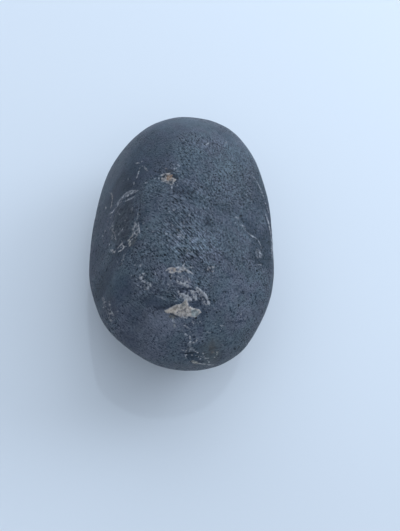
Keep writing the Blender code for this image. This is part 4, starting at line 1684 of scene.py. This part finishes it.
@dataclass(frozen=True)
class RiverStoneFinish:
    """Dark blue-grey stone with a satin wear polish, which reads the skin's paints.

    Attributes:
        deep: The darkest of the stone's own colour.
        light: The lightest of the stone's own colour.
        lilac: What the lilac clouds multiply the colour by.
        teal: What the teal clouds multiply the colour by.
        navy: What the darkest bits multiply the colour by.
        ashen: What the brightest bits multiply the colour by.
        cool_mineral: The bluish white of the veins.
        warm_mineral: The cream of the inclusions.
        rust: The ochre of the stains.
        umber: The dark grey-brown of old broken ground, which also serves as painted shade in the ochre pit
        and the scar's hollow.
        olive: The green-brown of the growth near the end.
        green_mineral: The greenish part of the minerals.
        roughness: The mean roughness of the worn skin.
        roughness_spread: How far it spreads with the fine grain.
        pit_roughness: How much rougher a pit is.
        gloss: How strongly the worn skin mirrors, where a half is the usual.
        pit_reach: How much brighter a pit is painted, or darker where it is below 0, as a share: painted
        shade in the pits.
        tone_reach: How much brighter or darker the strongest tones are, as a share, both of the stone's own
        tone and of painted light and shade.
        lean: The bearing of most scratches.
        steep_lean: The bearing of the dashes where they are swept clockwise.
        flat_lean: The bearing of the dashes where they are swept anticlockwise.
    """

    deep: Colour = (0.055, 0.065, 0.078)
    light: Colour = (0.086, 0.101, 0.123)
    lilac: Colour = (1.06, 0.97, 1.02)
    teal: Colour = (0.94, 1.02, 1.01)
    navy: Colour = (0.90, 0.98, 1.10)
    ashen: Colour = (1.06, 1.02, 0.95)
    cool_mineral: Colour = (0.315, 0.305, 0.31)
    warm_mineral: Colour = (0.43, 0.345, 0.275)
    rust: Colour = (0.21, 0.115, 0.065)
    umber: Colour = (0.046, 0.045, 0.048)
    olive: Colour = (0.125, 0.120, 0.100)
    green_mineral: Colour = (0.235, 0.26, 0.24)
    roughness: float = 0.5
    roughness_spread: float = 0.16
    pit_roughness: float = 0.2
    gloss: float = 0.23
    pit_reach: float = -0.4
    tone_reach: float = 0.7
    lean: float = -36.0
    steep_lean: float = -62.0
    flat_lean: float = 22.0

    def material(self) -> bpy.types.Material:
        """Makes the stone's material.

        Returns:
            The material.
        """
        material = bpy.data.materials.new("river_stone")
        material.use_nodes = True
        bench = StoneBench(material.node_tree)
        relief = self._texture(bench)
        colour = self._minerals(bench, self._ground(bench, relief))
        surface = material.node_tree.nodes["Principled BSDF"]
        surface.inputs["Specular IOR Level"].default_value = self.gloss
        smoothest = self.roughness - self.roughness_spread / 2
        rough = bench.sum(smoothest, bench.times(bench.fine, self.roughness_spread))
        rough = bench.sum(rough, bench.times(bench.paints[Paint.PIT], self.pit_roughness))
        tooth = bench.add("ShaderNodeBump", Strength=0.7, Distance=0.12 * MM, Height=relief).outputs[0]
        material.node_tree.links.new(colour, surface.inputs["Base Color"])
        material.node_tree.links.new(rough, surface.inputs["Roughness"])
        material.node_tree.links.new(tooth, surface.inputs["Normal"])
        return material

    def _texture(self, bench: StoneBench) -> bpy.types.NodeSocket:
        """The fine wear texture: scratches each way, bright flecks and dark pinholes. Its bright streaks are
        partly painted glints, and the pinholes' dark is painted shade.

        Args:
            bench: The bench to wire on.

        Returns:
            A number around 0, from about -1 for the darkest to 1 for the brightest.
        """
        warp = bench.add("ShaderNodeTexNoise", Vector=bench.where, Scale=0.9).outputs["Color"]
        warp = bench.scaled(warp, 0.9)
        bent = bench.add("ShaderNodeVectorMath", {"operation": "ADD"}, i0=bench.where, i1=warp).outputs[0]
        hatch = bench.sum(0.12, bench.paints[Paint.HATCH])
        long_way = bench.times(bench.strokes(bench.where, self.lean, 3.0, 0.27), hatch)
        sweep = bench.paints[Paint.SWEEP]
        steep, flat = bench.range(sweep, (0.0, -1.0)), bench.range(sweep, (0.0, 1.0))
        level = bench.sum(1.0, bench.times(bench.sum(steep, flat), -1.0))
        total = bench.times(long_way, 0.85)
        total = bench.sum(total, bench.times(bench.weave(bent, self.steep_lean), steep))
        total = bench.sum(total, bench.times(bench.weave(bent, self.lean - 2), level))
        total = bench.sum(total, bench.times(bench.dashes(bent, self.flat_lean), flat))
        total = bench.sum(total, bench.times(bench.sum(bench.fine, -0.5), 1.2))
        clusters = bench.range(bench.grain(bench.where, 7.0), (0.42, 0.6), (0.25, 1.0))
        # The pinholes' dark is painted shade in them.
        total = bench.sum(total, bench.times(bench.times(bench.dots(bent, 1.6, 0.42), clusters), -1.25))
        return bench.times(total, bench.sum(0.26, bench.times(bench.paints[Paint.GRAIN], 0.9)))

    def _ground(self, bench: StoneBench, relief: bpy.types.NodeSocket) -> bpy.types.NodeSocket:
        """The stone's colour: clouds of tone and hue, wear and stains, with painted shade in the pits and
        the painted light and shade that the tone paint carries.

        Args:
            bench: The bench to wire on.
            relief: The fine wear texture.

        Returns:
            The colour.
        """
        clouds = bench.range(bench.grain(bench.where, 13.0), (0.38, 0.62))
        mottle = bench.range(bench.grain(bench.where, 2.4, 4.0), (0.3, 0.7))
        tone = bench.sum(bench.times(clouds, 0.4), bench.sum(bench.times(mottle, 0.4), 0.1))
        colour = bench.blend(tone, self.deep, self.light)
        hue = bench.range(bench.grain(bench.where, 5.0), (0.36, 0.64), (-0.5, 0.5))
        hue = bench.range(bench.sum(hue, bench.paints[Paint.HUE]), (-1.0, 1.0))
        colour = bench.tint(colour, bench.blend(hue, self.lilac, self.teal))
        # Painted into the colour, the fine texture is partly the stone's grain and scratches, and partly
        # painted glints and painted shade.
        brightness = bench.sum(1.11, bench.times(relief, 1.12))
        # PIT darkens the colour as painted shade in the pits, and TONE lightens and darkens it, partly as
        # painted light and shade.
        for paint, reach in ((Paint.PIT, self.pit_reach), (Paint.TONE, self.tone_reach)):
            change = bench.sum(1.0, bench.times(bench.paints[paint], reach))
            brightness = bench.times(brightness, change)
        colour = bench.shade(colour, brightness)
        shade = bench.range(brightness, (0.5, 1.35))
        colour = bench.tint(colour, bench.blend(shade, self.navy, self.ashen))
        colour = bench.blend(bench.times(bench.paints[Paint.UMBER], 0.7), colour, self.umber)
        return bench.blend(bench.times(bench.paints[Paint.OLIVE], 0.6), colour, self.olive)

    def _minerals(self, bench: StoneBench, ground: bpy.types.NodeSocket) -> bpy.types.NodeSocket:
        """The pale minerals and the rust, over the stone's colour with its painted light and shade.

        Args:
            bench: The bench to wire on.
            ground: The stone's colour, with its painted light and shade.

        Returns:
            The colour.
        """
        pale, rust = bench.paints[Paint.PALE], bench.paints[Paint.RUST]
        crystal = bench.blend(bench.paints[Paint.WARMTH], self.cool_mineral, self.warm_mineral)
        crystal = bench.blend(bench.times(bench.paints[Paint.OLIVE], 0.8), crystal, self.green_mineral)
        speck = bench.grain(bench.where, 0.9)
        crystal = bench.shade(crystal, bench.range(speck, (0.3, 0.7), (0.55, 1.3)))
        fine, coarse = bench.sum(bench.fine, -0.5), bench.sum(speck, -0.5)
        ragged = bench.sum(bench.times(fine, 1.3), bench.times(coarse, 0.9))
        cover = bench.range(bench.sum(pale, ragged), (0.12, 0.68))
        cover = bench.times(cover, bench.range(pale, (0.0, 0.12)))
        colour = bench.blend(cover, ground, crystal)
        stain = bench.range(bench.sum(rust, ragged), (0.15, 0.95))
        stain = bench.times(stain, bench.range(rust, (0.0, 0.1)))
        return bench.blend(stain, colour, self.rust)


@dataclass
class Pebble:
    """The stone: its fine skin, its scars, and its finish.

    Attributes:
        node: The frame's own object for the stone.
        maker: What lays the skin over it.
        finish: What the skin is dressed in.
        swell: How high the wide unevenness of the skin rises.
        swell_grit: That unevenness.
        ripple: How high the fine unevenness rises.
        ripple_grit: That unevenness.
        grain_everywhere: How much of the fine texture shows where no mark says otherwise.
    """

    node: bpy.types.Object
    maker: SkinMaker = field(default_factory=SkinMaker)
    finish: RiverStoneFinish = field(default_factory=RiverStoneFinish)
    swell: float = 0.16
    swell_grit: Grit = Grit(14.0, 2, 3)
    ripple: float = 0.035
    ripple_grit: Grit = Grit(2.2, 3, 5)
    grain_everywhere: float = 0.85

    def build(self) -> bpy.types.Object:
        """Makes the skin, marks it and dresses it.

        Returns:
            The finished piece.
        """
        skin = self.maker.make(SolidSurface(self.node))
        skin.paints[Paint.GRAIN][:] = self.grain_everywhere
        skin.lift += self.swell * self.swell_grit.at(skin.points)
        skin.lift += self.ripple * self.ripple_grit.at(skin.points)
        for part in (WornSkinAndPaintedLight(), RightDent(), EndChip(), FlankScar(), OchrePit(), NearChip()):
            for mark in part.marks():
                mark.mark(skin)
            log.info("marked %s", type(part).__name__)
        return self._finished(skin)

    def _finished(self, skin: Skin) -> bpy.types.Object:
        """Moves the corners, stores the paints and makes the piece.

        Args:
            skin: The marked skin.

        Returns:
            The finished piece.
        """
        moved = skin.points + skin.normals * skin.lift[:, None]
        moved[:, 2] = np.maximum(moved[:, 2], 0.0)
        skin.mesh.vertices.foreach_set("co", (moved * MM).reshape(-1))
        skin.mesh.update()
        for paint, values in skin.paints.items():
            layer = skin.mesh.attributes.new(paint.value, "FLOAT", "POINT")
            layer.data.foreach_set("value", np.clip(values, -1.0, 1.0).astype(np.float32))
        skin.mesh.shade_smooth()
        skin.mesh.materials.append(self.finish.material())
        piece = bpy.data.objects.new("worn_stone", skin.mesh)
        bpy.context.scene.collection.objects.link(piece)
        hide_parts(self.node.name)
        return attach(piece, "root")


@dataclass(frozen=True)
class GlazedWhite:
    """The pale glazed finish of the table."""

    colour: Colour = (0.77, 0.756, 0.749)
    roughness: float = 0.05
    gloss: float = 0.68

    def material(self) -> bpy.types.Material:
        """Makes the material."""
        material = bpy.data.materials.new("glazed_white")
        material.use_nodes = True
        surface = material.node_tree.nodes["Principled BSDF"]
        surface.inputs["Base Color"].default_value = (*self.colour, 1.0)
        surface.inputs["Roughness"].default_value = self.roughness
        surface.inputs["Specular IOR Level"].default_value = self.gloss
        return material


@dataclass(frozen=True)
class Softbox:
    """A large soft lamp over the table.

    Attributes:
        name: What it is called.
        bearing: Where it stands, anticlockwise from +X.
        lift: How high it stands over the stone, as an angle.
        distance_m: How far off it is, in metres.
        width_m: Its width, in metres.
        watts: Its power.
    """

    name: str
    bearing: float
    lift: float
    distance_m: float
    width_m: float
    watts: float

    def place(self, colour: Colour) -> None:
        """Hangs the lamp, which isn't mirrored in the table.

        Args:
            colour: The colour of its light.
        """
        lamp = bpy.data.lights.new(self.name, "AREA")
        lamp.shape = "DISK"
        lamp.size = self.width_m
        lamp.energy = self.watts
        lamp.color = colour
        way = towards(self.bearing, self.lift)
        fitting = bpy.data.objects.new(self.name, lamp)
        fitting.location = way * self.distance_m
        fitting.rotation_euler = way.to_track_quat("Z", "Y").to_euler()
        fitting.visible_glossy = False
        bpy.context.scene.collection.objects.link(fitting)


def towards(bearing: float, lift: float) -> Vector:
    """Turns a bearing, anticlockwise from +X, and a lift above the table into a direction."""
    around, up = math.radians(bearing), math.radians(lift)
    return Vector((math.cos(up) * math.cos(around), math.cos(up) * math.sin(around), math.sin(up)))


@dataclass(frozen=True)
class Glow:
    """A wide soft brightness of the room on one side.

    Attributes:
        bearing: Where its middle is, anticlockwise from +X.
        lift: How high its middle is, as an angle.
        strength: How bright its middle is.
        reach: How far from its middle it has faded out, as an angle.
    """

    bearing: float
    lift: float
    strength: float
    reach: float = 65.0


@dataclass(frozen=True)
class SoftRoom:
    """The soft light of a pale room, brightest at its far side."""

    tint: Colour = (0.82, 1.0, 1.23)
    glows: tuple[Glow, ...] = (
        Glow(0, 20, 0.4), Glow(40, 25, 0.48, 55), Glow(90, 20, 1.66), Glow(180, 12, 0.27, 50),
        Glow(-45, 20, 0.36), Glow(-120, 50, 0.79),
    )

    def light(self) -> None:
        """Sets the world's light."""
        world = bpy.data.worlds.new("soft_room")
        world.use_nodes = True
        bench = NodeBench(world.node_tree)
        way = bench.add("ShaderNodeTexCoord").outputs["Generated"]
        way = bench.add("ShaderNodeVectorMath", {"operation": "NORMALIZE"}, i0=way).outputs[0]
        total: object = 0.0
        for glow in self.glows:
            middle = tuple(towards(glow.bearing, glow.lift))
            facing = bench.add("ShaderNodeVectorMath", {"operation": "DOT_PRODUCT"}, i0=way, i1=middle)
            edge = math.cos(math.radians(glow.reach))
            share = bench.range(facing.outputs["Value"], (edge, 1.0), (0.0, glow.strength))
            total = bench.sum(total, share)
        colour = bench.shade(self.tint, total)
        world.node_tree.links.new(colour, world.node_tree.nodes["Background"].inputs["Color"])
        bpy.context.scene.world = world


@dataclass(frozen=True)
class Studio:
    """The table, the lamp and the soft light of the room."""

    table_half_m: float = 3.0
    room: SoftRoom = field(default_factory=SoftRoom)
    lamps: tuple[Softbox, ...] = (Softbox("window", 32, 28, 0.9, 0.5, 2.0),)

    def build(self) -> None:
        """Makes the table and hangs the lamps."""
        work = bmesh.new()
        bmesh.ops.create_grid(work, x_segments=1, y_segments=1, size=self.table_half_m)
        mesh = bpy.data.meshes.new("table_top")
        work.to_mesh(mesh)
        work.free()
        mesh.materials.append(GlazedWhite().material())
        table = bpy.data.objects.new("table_top", mesh)
        bpy.context.scene.collection.objects.link(table)
        for lamp in self.lamps:
            lamp.place(self.room.tint)
            log.info("lamp %s", lamp.name)
        self.room.light()
        bpy.context.scene.view_settings.view_transform = "Standard"


@dataclass(frozen=True)
class Camera:
    """The camera that looks down on the stone from near its near end.

    Attributes:
        target: The point of the table that it looks at.
        bearing: Where it stands, anticlockwise from straight in front of the near end.
        lift: How high it stands, as an angle over the table.
        roll: How far it is turned about its own line of sight, clockwise as it looks.
        distance: How far from the target it stands.
        lens_mm: Its focal length.
    """

    target: tuple[float, float, float] = (8.6, 2.6, 0.0)
    bearing: float = -8.0
    lift: float = 59.3
    roll: float = -17.2
    distance: float = 274.5
    lens_mm: float = 52.0

    def place(self) -> None:
        """Sets the camera up and makes it the scene's own."""
        around, up = math.radians(self.bearing), math.radians(self.lift)
        back = Vector((math.sin(around) * math.cos(up), -math.cos(around) * math.cos(up), math.sin(up)))
        level = (-back).cross(Vector((0, 0, 1))).normalized()
        turn = Matrix.Rotation(math.radians(self.roll), 3, -back)
        across = turn @ level
        upwards = back.cross(across)
        pose = Matrix((across, upwards, back)).transposed().to_4x4()
        pose.translation = (Vector(self.target) + back * self.distance) * MM
        lens = bpy.data.cameras.new("camera")
        lens.lens = self.lens_mm
        lens.clip_start = 0.01
        camera = bpy.data.objects.new("camera", lens)
        camera.matrix_world = pose
        bpy.context.scene.collection.objects.link(camera)
        bpy.context.scene.camera = camera


def corners(box: tuple[Vector, Vector]) -> list[list[float]]:
    """Turns a box's two corners into plain lists of numbers."""
    return [[float(number) for number in corner] for corner in box]


def main() -> None:
    """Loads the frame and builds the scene."""
    logging.basicConfig(level=logging.INFO, format="%(name)s: %(message)s")
    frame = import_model()
    Camera().place()
    Studio().build()
    stone = Pebble(frame["nodes"]["pebble"]).build()
    log.info("%s has %d faces", stone.name, len(stone.data.polygons))


if __name__ == "__main__":
    main()
